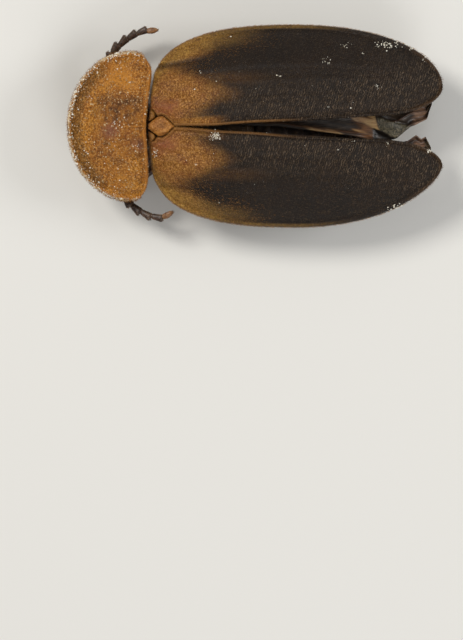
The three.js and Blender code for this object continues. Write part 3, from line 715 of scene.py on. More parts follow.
def trunk_look():
    """Olive-yellow to orange plates of the underside, brown in the seams."""
    look = Look("trunk_cuticle", Specular_IOR_Level=0.35)
    patches = look.noise(1.8, 4, 0.6)
    color = look.ramp(patches, [(0.3, "#6b4a18"), (0.5, "#9a6c20"), (0.7, "#bb8630")])
    color = look.blend(look.mark("warm"), color, look.ramp(patches, [(0.3, "#8c4c14"), (0.7, "#b5762a")]))
    speckle = look.noise(13, 3, 0.7)
    color = look.fleck(color, "#d09a5a", speckle, 0.5, 0.66, 0.6)
    color = look.fleck(color, "#4a260e", speckle, 0.48, 0.36, 0.5)
    color = look.blend(look.mark("seam"), color, "#3c2412")
    # The top of the trunk is painted dark as shade, partly its own dark colour; the crumpled patches below
    # are darker brown.
    color = look.blend(look.mark("dusk"), color, look.ramp(patches, [(0.35, "#1a120b"), (0.65, "#3d2d1d")]))
    look.set("Base Color", color)
    look.set("Roughness", look.range(patches, 0.3, 0.7, 0.5, 0.35))
    look.bump(look.noise(3.5, 4, 0.65), 0.09, 0.8)
    look.bump(look.noise(14, 4, 0.65), 0.03, 0.8)
    return look.material


def belly_look():
    """Crumpled dark plates, and the cream and orange light organ with chalky ridges."""
    look = Look("belly_cuticle")
    crumple = look.noise(2.6, 5, 0.65, 0.5)
    grain = look.noise(16, 3, 0.7)
    dark = look.ramp(crumple, [(0.3, "#1c120b"), (0.5, "#362417"), (0.7, "#6b4d30")])
    pale = look.ramp(crumple, [(0.28, "#8a541f"), (0.4, "#c08c4a"), (0.52, "#dfbf86"), (0.7, "#f0e0b8")])
    # Painted shade: the valley mark darkens the light organ to orange-brown in the valleys between its folds,
    # in the dips and in the holes.
    pale = look.blend(look.mark("valley"), pale, "#75461a")
    color = look.blend(look.mark("pale"), dark, pale)
    chalk = look.math("MULTIPLY", look.mark("chalk"), look.range(grain, 0.38, 0.56), clamp=True)
    color = look.blend(chalk, color, "#e9e4d4")
    look.set("Base Color", color)
    look.set("Roughness", look.range(chalk, 0, 1, 0.5, 0.85))
    look.bump(crumple, 0.09, 0.8)
    look.bump(grain, 0.03, 0.9)
    return look.material


def eye_look():
    """Glossy black facets."""
    look = Look("eye_facets", Base_Color=tone("#060504"), Roughness=0.16, Coat_Weight=0.3,
                Coat_Roughness=0.06)
    look.bump(look.cells(30), 0.01, 0.9)
    return look.material


def mouth_look():
    """Rugged face and jaws, dark with orange parts."""
    look = Look("mouth_cuticle", Roughness=0.32)
    fine = look.noise(8, 4, 0.65)
    color = look.ramp(fine, [(0.3, "#1b110b"), (0.7, "#45291a")])
    color = look.blend(look.mark("warm"), color, look.ramp(fine, [(0.3, "#9a5216"), (0.7, "#d08a36")]))
    look.set("Base Color", color)
    look.bump(look.noise(22, 3, 0.6), 0.02, 0.8)
    return look.material


def chalk_look():
    """Chalky crystals and dust."""
    look = Look("mineral_grains", Roughness=0.8)
    look.set("Base Color", look.ramp(look.noise(9, 3), [(0.3, "#c9bfa6"), (0.6, "#f2eee2")]))
    look.bump(look.noise(40, 2), 0.01, 0.8)
    return look.material


# Wing cases

def shield_half(y):
    """Half-width of the scutellum, rounded between the measured places."""
    return sum(along(SHIELD_OUTLINE, y + step) for step in (-0.08, -0.04, 0, 0.04, 0.08)) / 5


def case_inner(y, side):
    notch = np.where(y < -3.35, shield_half(y) + 0.03 + 0.34 * fall(y, -3.98, 0.25), 0)
    seam = sum(along(CASE_PARTING[side], y + step) for step in (-0.3, -0.1, 0.1, 0.3)) / 4
    turn = clamp01((y - CASE_ROUND_FROM) / (CASE_TIP - CASE_ROUND_FROM))
    return mix(np.maximum(notch, seam), CASE_TIP_X, 1 - np.sqrt(1 - turn**2))


def case_outer(y, side):
    forward = np.minimum(np.maximum(CASE_WIDEST - y, 0) / (CASE_WIDEST + 4.4), 1)
    back = np.minimum(np.maximum(y - CASE_WIDEST, 0) / (CASE_TIP + 0.01 - CASE_WIDEST), 1)
    front = CASE_HALF * (1 - forward**2.5) ** 0.27
    p, q = CASE_BACK_CURVE[side]
    behind = CASE_TIP_X + (CASE_HALF - CASE_TIP_X) * (1 - back**p) ** q
    return np.where(y < CASE_WIDEST, front, behind)


def case_height(v, y):
    fall_ahead = 0.72 * (np.abs(y) / 4.3) ** 2.2
    fall_behind = 1.25 * (np.abs(y) / CASE_TIP) ** 1.8
    crest = CASE_CREST - np.where(y < 0, fall_ahead, fall_behind)
    margin = CASE_MARGIN + 0.5 * clamp01((CASE_WIDEST - y) / 6) ** 3
    margin = margin + 0.35 * clamp01((y - CASE_WIDEST) / 6) ** 3
    return mix(crest, margin, v**2.3)


def case_grid(side, rows=350, columns=124):
    """Places on a wing case: x, y, share across and the height of the smooth surface."""
    u = np.linspace(0, 1, rows)[:, None]
    s = np.linspace(0, 1, columns)[None]
    v = mix(s, (1 - np.cos(math.pi * s)) / 2, 0.55)
    base = CASE_BASE - (0.17 if side > 0 else 0.08) + 0.2 * clamp01(1 - v / 0.16) ** 2
    base = base + 0.14 * clamp01((v - 0.5) / 0.5) ** 2
    y = mix(base, CASE_TIP, (1 - np.cos(math.pi * u)) / 2)
    inner = case_inner(y, side)
    x = mix(inner, case_outer(y, side), v)
    return x, y, v, case_height(np.broadcast_to(v, y.shape), y)


def make_case(name, side, look):
    """A wing case with beads, ribs, a shoulder and a folded edge below. Returns its upper surface."""
    x, y, v, height = case_grid(side)
    v = np.broadcast_to(v, y.shape)
    width = case_outer(y, side) - case_inner(y, side)
    from_seam = v * width
    from_edge = (1 - v) * width
    from_end = np.minimum(y - y[0], CASE_TIP - y)
    border = np.minimum(np.minimum(from_seam, from_edge), from_end)
    places = np.stack([side * x, y, height], -1)

    beads = 0.06 * ridge(from_seam, 0.07, 0.11) + 0.05 * ridge(from_edge, 0.08, 0.12)
    gutter = 0.035 * ridge(from_edge, 0.26, 0.2) + 0.03 * ridge(from_seam, 0.2, 0.12)
    fading = ridge(y, 0.8, 7.5)
    costae = sum(0.045 * hill((v - at) / 0.05) * fading for at in (0.24, 0.43, 0.6))
    shoulder = 0.2 * ridge(x, 1.62, 0.8) * ridge(y, -3.1, 1.5)
    shoulder = shoulder + 0.1 * ridge(x, 0.78, 0.5) * ridge(y, -3.7, 0.8)
    shoulder = shoulder - 0.06 * hill((x - 1.05 - 0.2 * (y + 3.6)) / 0.14) * ridge(y, -3.6, 0.8)
    crease_x = 2.42 + 0.16 * (y + 4.2)
    crease = hill((x - crease_x) / 0.2) * fall(y, -1.5, 1.6)
    lumps = 0.035 * rough(places, 0.8, 11 + side, 3)
    wrinkles = rough(places, 2.6, 5, 2)
    upper = height + beads - gutter + costae + shoulder - 0.09 * crease + lumps + 0.025 * wrinkles
    rugged = clamp01(0.35 + 0.65 * fall(from_seam, 2.6, 1.8) * rise(y, -2.5, 2) + 0.3 * rise(y, 2, 4))
    rugged = rugged * (1 - 0.7 * fall(y, -1.8, 1.5))

    fold_width = 0.45 + 0.75 * fall(y, 3.5, 6)
    lip = 0.28 * hill((from_edge - fold_width) / 0.14) * rise(y, -4.1, 0.6)
    lip = lip + 0.12 * hill(from_edge / fold_width)
    under = height - CASE_THICK - lip * 0.45 + lumps + 0.01 * wrinkles
    upper, under = round_border(upper, under, border, 0.07)

    reach = -1.5 + 1.1 * ridge(x, 1.35, 0.9) - 0.9 * ridge(x, 2.5, 0.6)
    front = 0.95 * smooth((reach - y + 0.5 * rough(places, 0.7, 41, 3)) / 2.0)
    front = np.maximum(front, 0.16 * hill((x - 2.0 - 0.02 * y) / 0.4) * fall(y, 1.4, 3))
    rosy = ridge(x, 0.75, 0.6) * ridge(y, -3.7, 0.9)
    hem = 0.95 * fall(from_edge, 0.95, 0.6) * fall(y, 0.9, 4.5)
    hem = np.maximum(hem, 0.5 * fall(from_edge, 0.2, 0.12) * fall(y, 4.4, 3))
    bead = (0.95 if side < 0 else 0.7) * fall(from_seam, 0.13, 0.06) * (1 - rise(y, 0, 2.4))
    bead = np.maximum(bead, 0.16 * fall(border, 0.24, 0.16) * rise(y, 6, 1))
    gold = ridge(from_seam, 0.2, 0.3) * fall(y, -0.9, 1.2) * (1.0 if side < 0 else 0.5)
    front = np.maximum(front, gold)
    points, faces, pick, lower = leaf(side * x, y, upper, under)
    front_under = np.maximum(pick(front), lower * smooth((0.4 - pick(y)) / 2.6) * pick(rise(v, 0, 0.3)))
    shape = Shape(("base", "rosy", "edge", "bead", "crease", "rugged", "under"))
    crease_dark = 1.0 if side < 0 else 0.3
    shape.add(points, faces, base=front_under, rosy=pick(rosy) * ~lower, edge=pick(hem),
              bead=pick(bead) * ~lower, crease=pick(crease) * crease_dark * ~lower,
              rugged=mix(pick(rugged), 0.25, lower), under=lower.astype(float))
    shape.build(name, look, [name])
    surface = np.stack([side * x, y, upper], -1)
    return surface if side > 0 else surface[:, ::-1]


def make_case_down(name, side, surface, dark, light, rng):
    """Short golden hairs that lie back along the wing case, denser in front and along the edges."""
    weight = 0.55 + 1.2 * fall(surface[..., 1], -1.5, 2.5)
    roots, outward, places, _ = scatter([surface], CASE_HAIRS, rng, [weight])
    back = BACKWARDS + 0.35 * rng.standard_normal((len(roots), 3))
    reach = mix(-1.9, 0.2, rise(np.abs(roots[:, 0]), 2.6, 0.8))
    pale = roots[:, 1] + rng.normal(0, 0.5, len(roots)) < reach
    for chosen, look, kind in ((pale, light, "_front"), (~pale, dark, "_rear")):
        shape = Shape()
        add_hairs(shape, roots[chosen], outward[chosen], back[chosen], rng.uniform(*CASE_HAIR, chosen.sum()),
                  0.0035, places[chosen], 0.3)
        shape.build(name + kind, look)
    shape = Shape()
    edge = (-1, -3) if side > 0 else (0, 2)
    border = np.stack([surface[:, column] for column in edge], 1)
    roots, outward, places, _ = scatter([border], CASE_FRINGE, rng)
    out = unit(roots * np.array([1.0, 0.25, 0.0]))
    drift = np.array([0.2, 1.0, -0.2]) + 0.3 * rng.standard_normal((len(roots), 3))
    add_hairs(shape, roots, out, drift, rng.uniform(*CASE_HAIR, len(roots)), 0.004, places, 0.5)
    shape.build(name + "_edge", light)


# Pronotum

def hood_half(y):
    forward = clamp01((HOOD_WIDEST - y) / (HOOD_WIDEST - HOOD_FRONT))
    corner = clamp01((y - HOOD_WIDEST) / 0.95)
    return np.where(y < HOOD_WIDEST, HOOD_HALF * np.sqrt(np.maximum(1e-4, 1 - forward**2)),
                    HOOD_HALF * (1 - 0.13 * corner**3.2))


def hood_hind(x):
    """Y of the hood's hind edge, which bows forward in the middle and rounds off at the corners."""
    return sum(along(HOOD_HIND, x + step) for step in (-0.15, -0.05, 0.05, 0.15)) / 4


def hood_height(x, y):
    back = np.maximum((HOOD_BACK - y) / (HOOD_BACK - HOOD_FRONT), 0)
    sides = 1.35 * (np.abs(x) / HOOD_HALF) ** 2.1
    disc = 0.22 * ridge(x, 0, 1.9) * ridge(y, -5.15, 1.3)
    dish = 0.1 * hill((1 - np.abs(x) / hood_half(y)) / 0.3)
    return HOOD_TOP - sides - 1.28 * back**1.5 + disc + dish


# Dark blotches of the disc: X, Y, radius and strength
HOOD_BLOTCHES = [(-1.1, -6.3, 0.45, 0.6), (-0.5, -5.5, 0.7, 0.3), (-0.7, -6.0, 0.8, 0.3),
                 (-1.05, -5.5, 0.55, 0.75), (-0.75, -5.9, 0.5, 0.6), (-1.0, -5.1, 0.4, 0.5),
                 (-1.0, -4.82, 0.3, 1.0), (-0.7, -4.85, 0.28, 0.9), (-0.55, -5.1, 0.4, 0.55),
                 (-0.52, -6.15, 0.15, 1.0), (-0.36, -6.12, 0.14, 1.0), (-0.8, -6.5, 0.5, 0.4),
                 (-0.3, -5.78, 0.15, 0.8), (0.24, -6.07, 0.22, 0.45), (0.62, -6.2, 0.16, 0.7),
                 (0.78, -6.02, 0.16, 0.7), (0.74, -4.74, 0.26, 0.85), (0.5, -5.0, 0.26, 0.4),
                 (-2.45, -4.9, 0.26, 0.5), (1.5, -5.6, 0.5, 0.3), (2.2, -5.3, 0.4, 0.25),
                 (1.4, -6.6, 0.4, 0.3)]
# Golden and vivid orange places: X, Y, radius and strength
HOOD_GLOWS = [(-2.1, -5.6, 0.75, 1.0), (-1.7, -5.2, 0.5, 0.7), (0.85, -5.85, 0.34, 0.9),
              (1.15, -5.6, 0.3, 0.7), (2.1, -5.5, 0.7, 0.5), (-1.9, -6.3, 0.5, 0.5)]
HOOD_ROSY = [(0.2, -6.0, 0.55, 1.0), (0.75, -4.8, 0.4, 0.6)]  # rosy places, as above


def make_hood(look):
    """The pronotum. Returns its two surfaces and the distance of each place from the front and side edge."""
    rows, columns = 170, 230
    u = np.linspace(0, 1, rows)[:, None]
    s = np.linspace(-1, 1, columns)[None]
    across = mix(s, np.sin(s * math.pi / 2), 0.6)
    y = mix(HOOD_FRONT, HOOD_BACK, (1 - np.cos(math.pi * u)) / 2) * np.ones_like(s)
    x = hood_half(y) * across
    y = y + (hood_hind(x) - HOOD_BACK) * u**3
    hind = y[-1:, :]
    from_middle = np.sqrt((x / HOOD_HALF) ** 2 + ((y - HOOD_WIDEST) / (HOOD_WIDEST - HOOD_FRONT)) ** 2)
    from_front = np.where(y < HOOD_WIDEST, (1 - from_middle) * 2.8, hood_half(y) - np.abs(x))
    from_back = np.minimum(hind - y, 4)
    border = np.maximum(np.minimum(from_front, from_back), 0)
    height = hood_height(x, y)
    places = np.stack([x, y, height], -1)

    bead = 0.07 * ridge(border, 0.09, 0.11) - 0.05 * ridge(border, 0.27, 0.16)
    pits = 0.05 * np.maximum(noise(places, 4.6, 3), 0) * fall(border, 0.95, 0.5) * rise(border, 0, 0.25)
    groove = 0.05 * (ridge(np.abs(x), 0.07, 0.06) - 0.6 * ridge(x, 0, 0.05)) * rise(y, -5.6, 0.5)
    bulges = 0.11 * ridge(np.abs(x), 0.62, 0.55) * ridge(y, -4.95, 0.6)
    hollows = 0.12 * ridge(np.abs(x), 1.35, 0.32) * ridge(y, -4.9, 0.5)
    ledge = 0.09 * smooth((1.55 - np.sqrt((x / 1.15) ** 2 + ((y + 5.0) / 1.15) ** 2)) / 0.3)
    lumps = 0.05 * rough(places, 1.6, 7, 3) + 0.022 * rough(places, 7.5, 8, 2)
    upper = height + bead - pits - groove + bulges - hollows + ledge - 0.05 + lumps
    pad = 0.42 * ridge(np.abs(x), 2.15, 1.0) * ridge(y, -5, 0.9)
    hollow = ((x + 0.15) / 1.4) ** 2 + ((y + 6.55) / 0.8) ** 2
    brim = 0.16 * ridge(hollow, 1.3, 0.6) * fall(y, -5.3, 0.4)
    under = height - HOOD_THICK - pad - brim + 0.03 * rough(places, 2, 9, 3)
    upper, under = round_border(upper, under, border, 0.1)

    blur = 0.12 * noise(places, 4, 77)
    blotch = spots(x, y, HOOD_BLOTCHES, blur)
    glow = spots(x, y, HOOD_GLOWS, blur)
    pads = np.hypot((np.abs(x) - 2.1) / 0.98, (y + 5.05) / 0.85)
    from_disc = np.sqrt((x / 1.0) ** 2 + ((y + 5.3) / 1.1) ** 2)
    disc = smooth((1.45 - from_disc + 0.2 * rough(places, 1.5, 12)) / 0.5)
    rim = 0.8 * fall(border, 0.15, 0.08)
    rim = np.maximum(rim, 0.7 * ridge(x, 0, 0.06) * rise(y, -5.6, 0.3))
    band = fall(from_front, 0.72, 0.25) * fall(y, -6.0, 0.7)
    rosy = spots(x, y, HOOD_ROSY)
    points, faces, pick, lower = leaf(x, y, upper, under)
    shape = Shape(("disc", "blotch", "glow", "rosy", "band", "rim", "under", "hollow"))
    marks = np.where(lower, 0.6 * pick(ridge(pads, 1, 0.05)), pick(clamp01(0.9 * blotch + 0.1 * disc)))
    shape.add(points, faces, disc=pick(disc) * ~lower, blotch=marks, glow=pick(clamp01(glow)) * ~lower,
              rosy=pick(clamp01(rosy)) * ~lower, band=pick(band) * ~lower, rim=pick(rim) * ~lower,
              under=lower.astype(float),
              hollow=lower * pick(fall(hollow, 1.25, 0.3) * 0.9))
    shape.build("pronotum", look, ["pronotum"])
    return np.stack([x, y, upper], -1), np.stack([x, y, under], -1)[:, ::-1], from_front


def make_hood_down(surface, below, look, rng):
    """Short hairs on both faces of the hood and a fringe along its front and sides."""
    roots, outward, places, _ = scatter([surface, below], HOOD_HAIRS, rng)
    swirl = BACKWARDS + 0.5 * rng.standard_normal((len(roots), 3))
    shape = Shape()
    add_hairs(shape, roots, outward, swirl, rng.uniform(*HOOD_HAIR, len(roots)), 0.0045, places, 0.3)
    fringe = np.concatenate([surface[::-1, 0], surface[:, -1]])
    strip = np.stack([fringe, fringe + np.array([0, 0, -0.05])], 1)
    roots, _, places, _ = scatter([strip], HOOD_FRINGE, rng)
    out = unit((roots - np.array([0, -5.0, 0])) * np.array([1.0, 1.1, 0.0]))
    drift = out + 0.5 * rng.standard_normal((len(roots), 3)) + np.array([0, 0.25, 0])
    add_hairs(shape, roots, np.broadcast_to([0.0, 0, 1.0], roots.shape), drift,
              rng.uniform(*FRINGE_HAIR, len(roots)), 0.005, places, 0.25)
    shape.build("pronotum_down", look)


# Scutellum

def make_shield(look):
    """The scutellum, and a corner of the plate before it on each side."""
    rows, columns = 60, 60
    u = np.linspace(0, 1, rows)[:, None]
    s = np.sin(np.linspace(-1, 1, columns) * math.pi / 2)[None]
    front, tail = SHIELD_OUTLINE[0][0], SHIELD_OUTLINE[-1][0]
    y = mix(front, tail, (1 - np.cos(math.pi * u)) / 2) * np.ones_like(s)
    half = np.maximum(shield_half(y), 0.006)
    x = half * s
    height = SHIELD_TOP - 0.5 * x**2 + 0.12 * (y + 4.05)
    places = np.stack([x, y, height], -1)
    border = np.minimum((1 - np.abs(s)) * half, np.minimum(y - front, tail - y))
    upper = height + 0.07 * rise(border, 0, 0.16) - 0.06 * ridge(x, 0, 0.17) * ridge(y, -3.82, 0.26)
    upper = upper + 0.07 * rough(places, 4, 17, 3)
    stain = ridge(x, -0.04, 0.2) * ridge(y, -3.85, 0.3) + 0.5 * smooth(rough(places, 3.5, 18, 3) * 2)
    under = height - 0.2
    points, faces, pick, _ = leaf(x, y, *round_border(upper, under, border, 0.05))
    shape = Shape(("warm", "seam"))
    shape.add(points, faces, warm=0.8, seam=pick(0.12 + 0.3 * stain))
    for side in (-1, 1):
        corner = curve([(side * 0.24, -4.38, 3.36), (side * 0.45, -4.25, 3.38), (side * 0.68, -4.3, 3.3)], 16)
        grid = tube_grid(corner, 0.13 * np.sin(np.linspace(0.25, 2.9, 16)), 0.12, 16)
        shape.add_tube(grid + 0.02 * rough(grid, 5, 19)[..., None], warm=0.4, seam=0.35)
    shape.build("scutellum", look, ["scutellum"])


# Hind wings

WING_EDGES = {
    1: dict(inner=[(-2.5, 0.1), (1, 0.3), (4, 0.5), (5.9, 0.68), (6.36, 0.61), (6.73, 0.36), (6.94, 0.53),
                   (7.13, 0.43), (7.35, 0.86), (7.4, 1.2)],
            outer=[(-2.5, 1.9), (-1, 2.75), (3, 3.1), (5.5, 2.75), (6.7, 2.4), (7.15, 2.1), (7.4, 1.7)]),
    -1: dict(inner=[(-2.5, 0.1), (1, 0), (4, -0.4), (5.4, -0.66), (5.9, -0.51), (6.48, -0.03), (6.69, 0.05),
                    (7.19, 0.3), (7.27, 0.59), (7.4, 0.94)],
             outer=[(-2.5, 1.9), (-1, 2.75), (3, 3.1), (5.5, 2.75), (6.7, 2.2), (7.15, 1.75), (7.4, 1.3)]),
}
WING_VEINS = (0.04, 0.24, 0.44, 0.62, 0.8, 0.96)  # places of the veins across
WING_FRONT, WING_TIP = -2.5, 7.4
WING_DROP = 0.84  # how far the wing lies below the top of its case


def make_wing(name, side, look):
    """A folded membrane with main veins, pleats between them and crumpled flaps behind."""
    rows, columns = 220, 120
    u = np.linspace(0, 1, rows)[:, None]
    v = np.linspace(0, 1, columns)[None]
    y = mix(WING_FRONT, WING_TIP, u) * np.ones_like(v)
    edges = WING_EDGES[side]
    inner, outer = (along(edges[key], y) for key in ("inner", "outer"))
    x = mix(inner, outer, v)
    width = outer - inner
    share = clamp01((np.abs(x) - case_inner(y, side)) / (case_outer(y, side) - case_inner(y, side)))
    share = np.where(x < 0, 0, share)
    droop = 0.5 * clamp01((u - 0.84) / 0.16) ** 2 * (0.4 + v)
    middle = case_height(share, y) - WING_DROP - droop
    places = np.stack([side * x, y, middle], -1)
    bent = v + 0.02 * rough(places, 0.9, 51 + side, 2)
    across = side * x
    crease = -0.42 + 0.296 * (y - 5.16)
    below = across - 0.08 - 0.4725 * (y - 5.03)
    right = float(side < 0)
    flat = right * rise(y, 4.2, 0.5) * smooth((across - crease) / 0.1)
    pleats = 0.06 * np.cos(2 * math.pi * bent * 4.5) * rise(u, 0, 0.1) * (1 - 0.85 * flat)
    vein = np.max([ridge(bent, at, 0.045 / width + 0.004) for at in WING_VEINS], axis=0) * (1 - 0.8 * flat)
    pleats = pleats - 0.12 * right * hill((across - crease) / 0.1) * rise(y, 5.2, 0.4)
    pleats = pleats - 0.08 * right * rise(below, 0, 0.2) * rise(y, 4.9, 0.2) * fall(y, 6.3, 0.3)
    crumple = 0.1 * rough(places * np.array([1.0, 0.5, 1.0]), 1.6, 53 + side, 3) * (0.5 + rise(y, 4, 3))
    middle = middle + pleats + crumple
    border = np.minimum(np.minimum(v, 1 - v) * width, np.minimum(y - WING_FRONT, WING_TIP - y))
    thick = (0.025 + 0.05 * vein) * quarter_circle(border / 0.05)
    points, faces, pick, _ = leaf(side * x, y, middle + thick, middle - thick)
    blur = 0.05 * noise(places, 6, 3)
    fibres = noise(np.stack([9 * (across - 0.277 * y), 0.9 * y, 0 * y], -1), 1, 57)
    inside = right * rise(across, -1.1, 0.15)
    # dark is a painted shadow: a near-black triangle on the right wing, below the step by the grey membrane.
    dark = right * smooth((below + blur) / 0.05) * rise(y, 4.88, 0.1)
    grey = right * smooth((y - 5.06 + blur) / 0.06) * smooth((across - crease + blur) / 0.06) * (1 - dark)
    grey = np.maximum(grey, 0.8 * rise(y, 7.1 if side < 0 else 7.05, 0.1))
    tan = inside * smooth((5.1 - y + 0.3 * (across + 0.2) + blur) / 0.08)
    tan = tan * smooth((y - 4.3 - 0.9 * (across + 0.4) + 0.35 * fibres) / 0.4)
    tan = np.maximum(tan, 0.55 * inside * rise(fibres, 0.2, 0.3) * rise(y, 1.9, 0.5) * fall(y, 4.9, 0.6))
    brown = inside * fall(y, 5.0, 0.2) * smooth((y - 3.9 + 0.3 * fibres) / 0.5)
    pink = rise(y, 6.45, 0.25) * (1 - grey) * fall(np.abs(across), 1.3, 0.2)
    shape = Shape(("vein", "grey", "tan", "brown", "dark", "pink"))
    shape.add(points, faces, vein=pick(vein), grey=pick(grey), tan=pick(tan), brown=pick(brown),
              dark=pick(dark), pink=pick(pink))
    shape.build(name, look, [name])


# Trunk and belly

# Furrows of the underside, as lines of X and Y on the left that the right repeats
TRUNK_FURROWS = [
    [(0.55, -2.45), (1.05, -1.7), (1.45, -0.5)],
    [(1.3, -2.65), (1.75, -1.6), (1.9, -0.5)],
    [(0.12, -3.35), (0.8, -3.02), (1.8, -3.15)],
    [(0.2, -3.95), (0.8, -3.72), (1.3, -3.5), (1.75, -3.55)],
    [(0.1, -4.3), (0.5, -4.62), (0.9, -4.4)],
]
# Swellings of the underside: X, Y, radius and height
TRUNK_SWELLS = [(0.95, -2.8, 0.5, 0.1), (1.3, -3.35, 0.4, 0.1), (0.6, -1.3, 0.7, 0.08),
                (1.65, -1.2, 0.35, 0.07), (0.45, -4.45, 0.35, 0.08), (1.7, -2.3, 0.35, 0.08),
                (0.4, -3.65, 0.35, 0.06)]


def to_line(x, y, line):
    """Distance of places from a line through points."""
    nearest = np.full(np.broadcast(x, y).shape, np.inf)
    for (ax, ay), (bx, by) in zip(line, line[1:]):
        dx, dy = bx - ax, by - ay
        share = clamp01(((x - ax) * dx + (y - ay) * dy) / (dx * dx + dy * dy))
        nearest = np.minimum(nearest, np.hypot(x - ax - share * dx, y - ay - share * dy))
    return nearest


# Half-width, top and underside of the trunk at each Y
TRUNK_HALF = [(-5.15, 0.5), (-4.9, 0.85), (-4.3, 1.0), (-4.05, 1.15), (-3.9, 1.45), (-3.5, 1.82),
              (-2.75, 1.86), (-2.6, 1.98), (-1.5, 2.12), (-0.8, 2.05), (-0.3, 1.8), (0.12, 1.3)]
TRUNK_ROOF = [(-5.15, 2.1), (-4.6, 2.78), (-4.2, 2.78), (-3.9, 2.85), (-3, 2.85), (-0.3, 2.85), (0.12, 2.2)]
TRUNK_FLOOR = [(-5.15, 1.7), (-4.9, 1.54), (-4.15, 1.52), (-4.0, 1.5), (-2.72, 1.48), (-0.3, 1.46),
               (0.12, 1.6)]
TRUNK_FRONT, TRUNK_BACK = -5.15, 0.12
TRUNK_SEAMS = (-4.08, -2.7, -0.12)  # Y of the seams between its parts


def make_trunk(look):
    """The thorax from front to back, furrowed below."""
    rows, columns = 240, 96
    y = np.linspace(TRUNK_FRONT, TRUNK_BACK, rows)
    half, roof, floor = (along(pairs, y) for pairs in (TRUNK_HALF, TRUNK_ROOF, TRUNK_FLOOR))
    c, s = ring(columns)
    x = half[:, None] * boxy(c, 0.75)
    z = mix(floor[:, None], roof[:, None], (1 + boxy(s, 0.7)) / 2)
    grid = np.stack([x, y[:, None] * np.ones_like(c), z], -1)
    below = smooth(-s / 0.5)
    rings = sum(hill((grid[..., 1] - at) / 0.07) for at in TRUNK_SEAMS)
    line = ridge(x, 0, 0.05) * (grid[..., 1] > -3.9)
    flank = hill((np.abs(x) - 0.8 - 0.25 * (grid[..., 1] + 2.6)) / 0.06) * (grid[..., 1] > -2.6)
    seam = clamp01(rings + (line + flank) * below)
    grid[..., 2] += 0.08 * seam * below + 0.13 * rough(grid, 2.0, 61, 3) * below
    ahead = fall(grid[..., 1], -2.5, 0.8)
    warm = np.maximum(0.7 * ahead, 0.5 * ridge(np.abs(x), 1.9, 0.5)) * below
    side_x, along_y = np.abs(x), grid[..., 1]
    furrow = np.max([hill(to_line(side_x, along_y, line) / 0.07) for line in TRUNK_FURROWS], axis=0) * below
    swell = spots(side_x, along_y, TRUNK_SWELLS)
    grid[..., 2] += (0.09 * furrow - swell) * below
    seam = np.maximum(seam, 0.75 * furrow)
    crumpled = smooth(rough(grid, 1.3, 64, 2) * 3 - 0.1) * rise(grid[..., 1], -2.4, 0.6)
    # The top, tucked under the hood and wing cases, is darkened as painted shade, partly its own dark colour;
    # crumpled patches below are darker brown.
    dusk = np.maximum(rise(s, 0, 0.4), 0.65 * crumpled * below)
    shape = Shape(("warm", "seam", "dusk"))
    shape.add_tube(grid, warm=warm, seam=0.9 * seam, dusk=0.95 * dusk)
    shape.build("trunk", look, ["prothorax", "mesothorax", "metathorax"])
    return closed_columns(grid)


BELLY_EDGES = (0.55, 1.8, 2.8, 3.37, 3.97, 4.47, 5.03)  # Y of the hind edge of each segment but the last
BELLY_FLOOR = [(-0.1, 1.42), (0, 1.34), (0.9, 1.12), (1.4, 0.82), (2.3, 0.68), (2.9, 0.6), (3.5, 0.32),
               (4.1, 0.08), (4.5, 0.03), (5, 0.05), (5.5, 0.34), (5.62, 0.6)]
BELLY_ROOF = [(-0.1, 2.1), (0, 2.18), (2, 2.02), (4, 1.62), (5, 1.36), (5.5, 1.15), (5.62, 0.95)]
BELLY_HALF = [(-0.1, 1.7), (0, 2.0), (0.6, 2.16), (1.2, 2.28), (2.3, 2.34), (3.1, 2.2), (3.6, 2.12),
              (4.2, 1.98), (4.75, 1.68), (5.2, 1.28), (5.5, 0.95), (5.62, 0.65)]
BELLY_MIDDLE = [(0, -0.05), (2.3, -0.08), (3.1, -0.16), (3.6, -0.25), (4.2, -0.37), (4.75, -0.53),
                (5.2, -0.75), (5.5, -0.95)]

BELLY_CHALK = [(0, 0.05), (0.8, 0.2), (2, 0.45), (3, 0.8), (5, 1)]
BELLY_HOLE_SHADE = [(-0.6, 4.9, 0.35, 1.0), (-1.35, 4.85, 0.25, 1.0)]  # painted shade of the dark holes in the light organ: X, Y, radius and depth of the shade
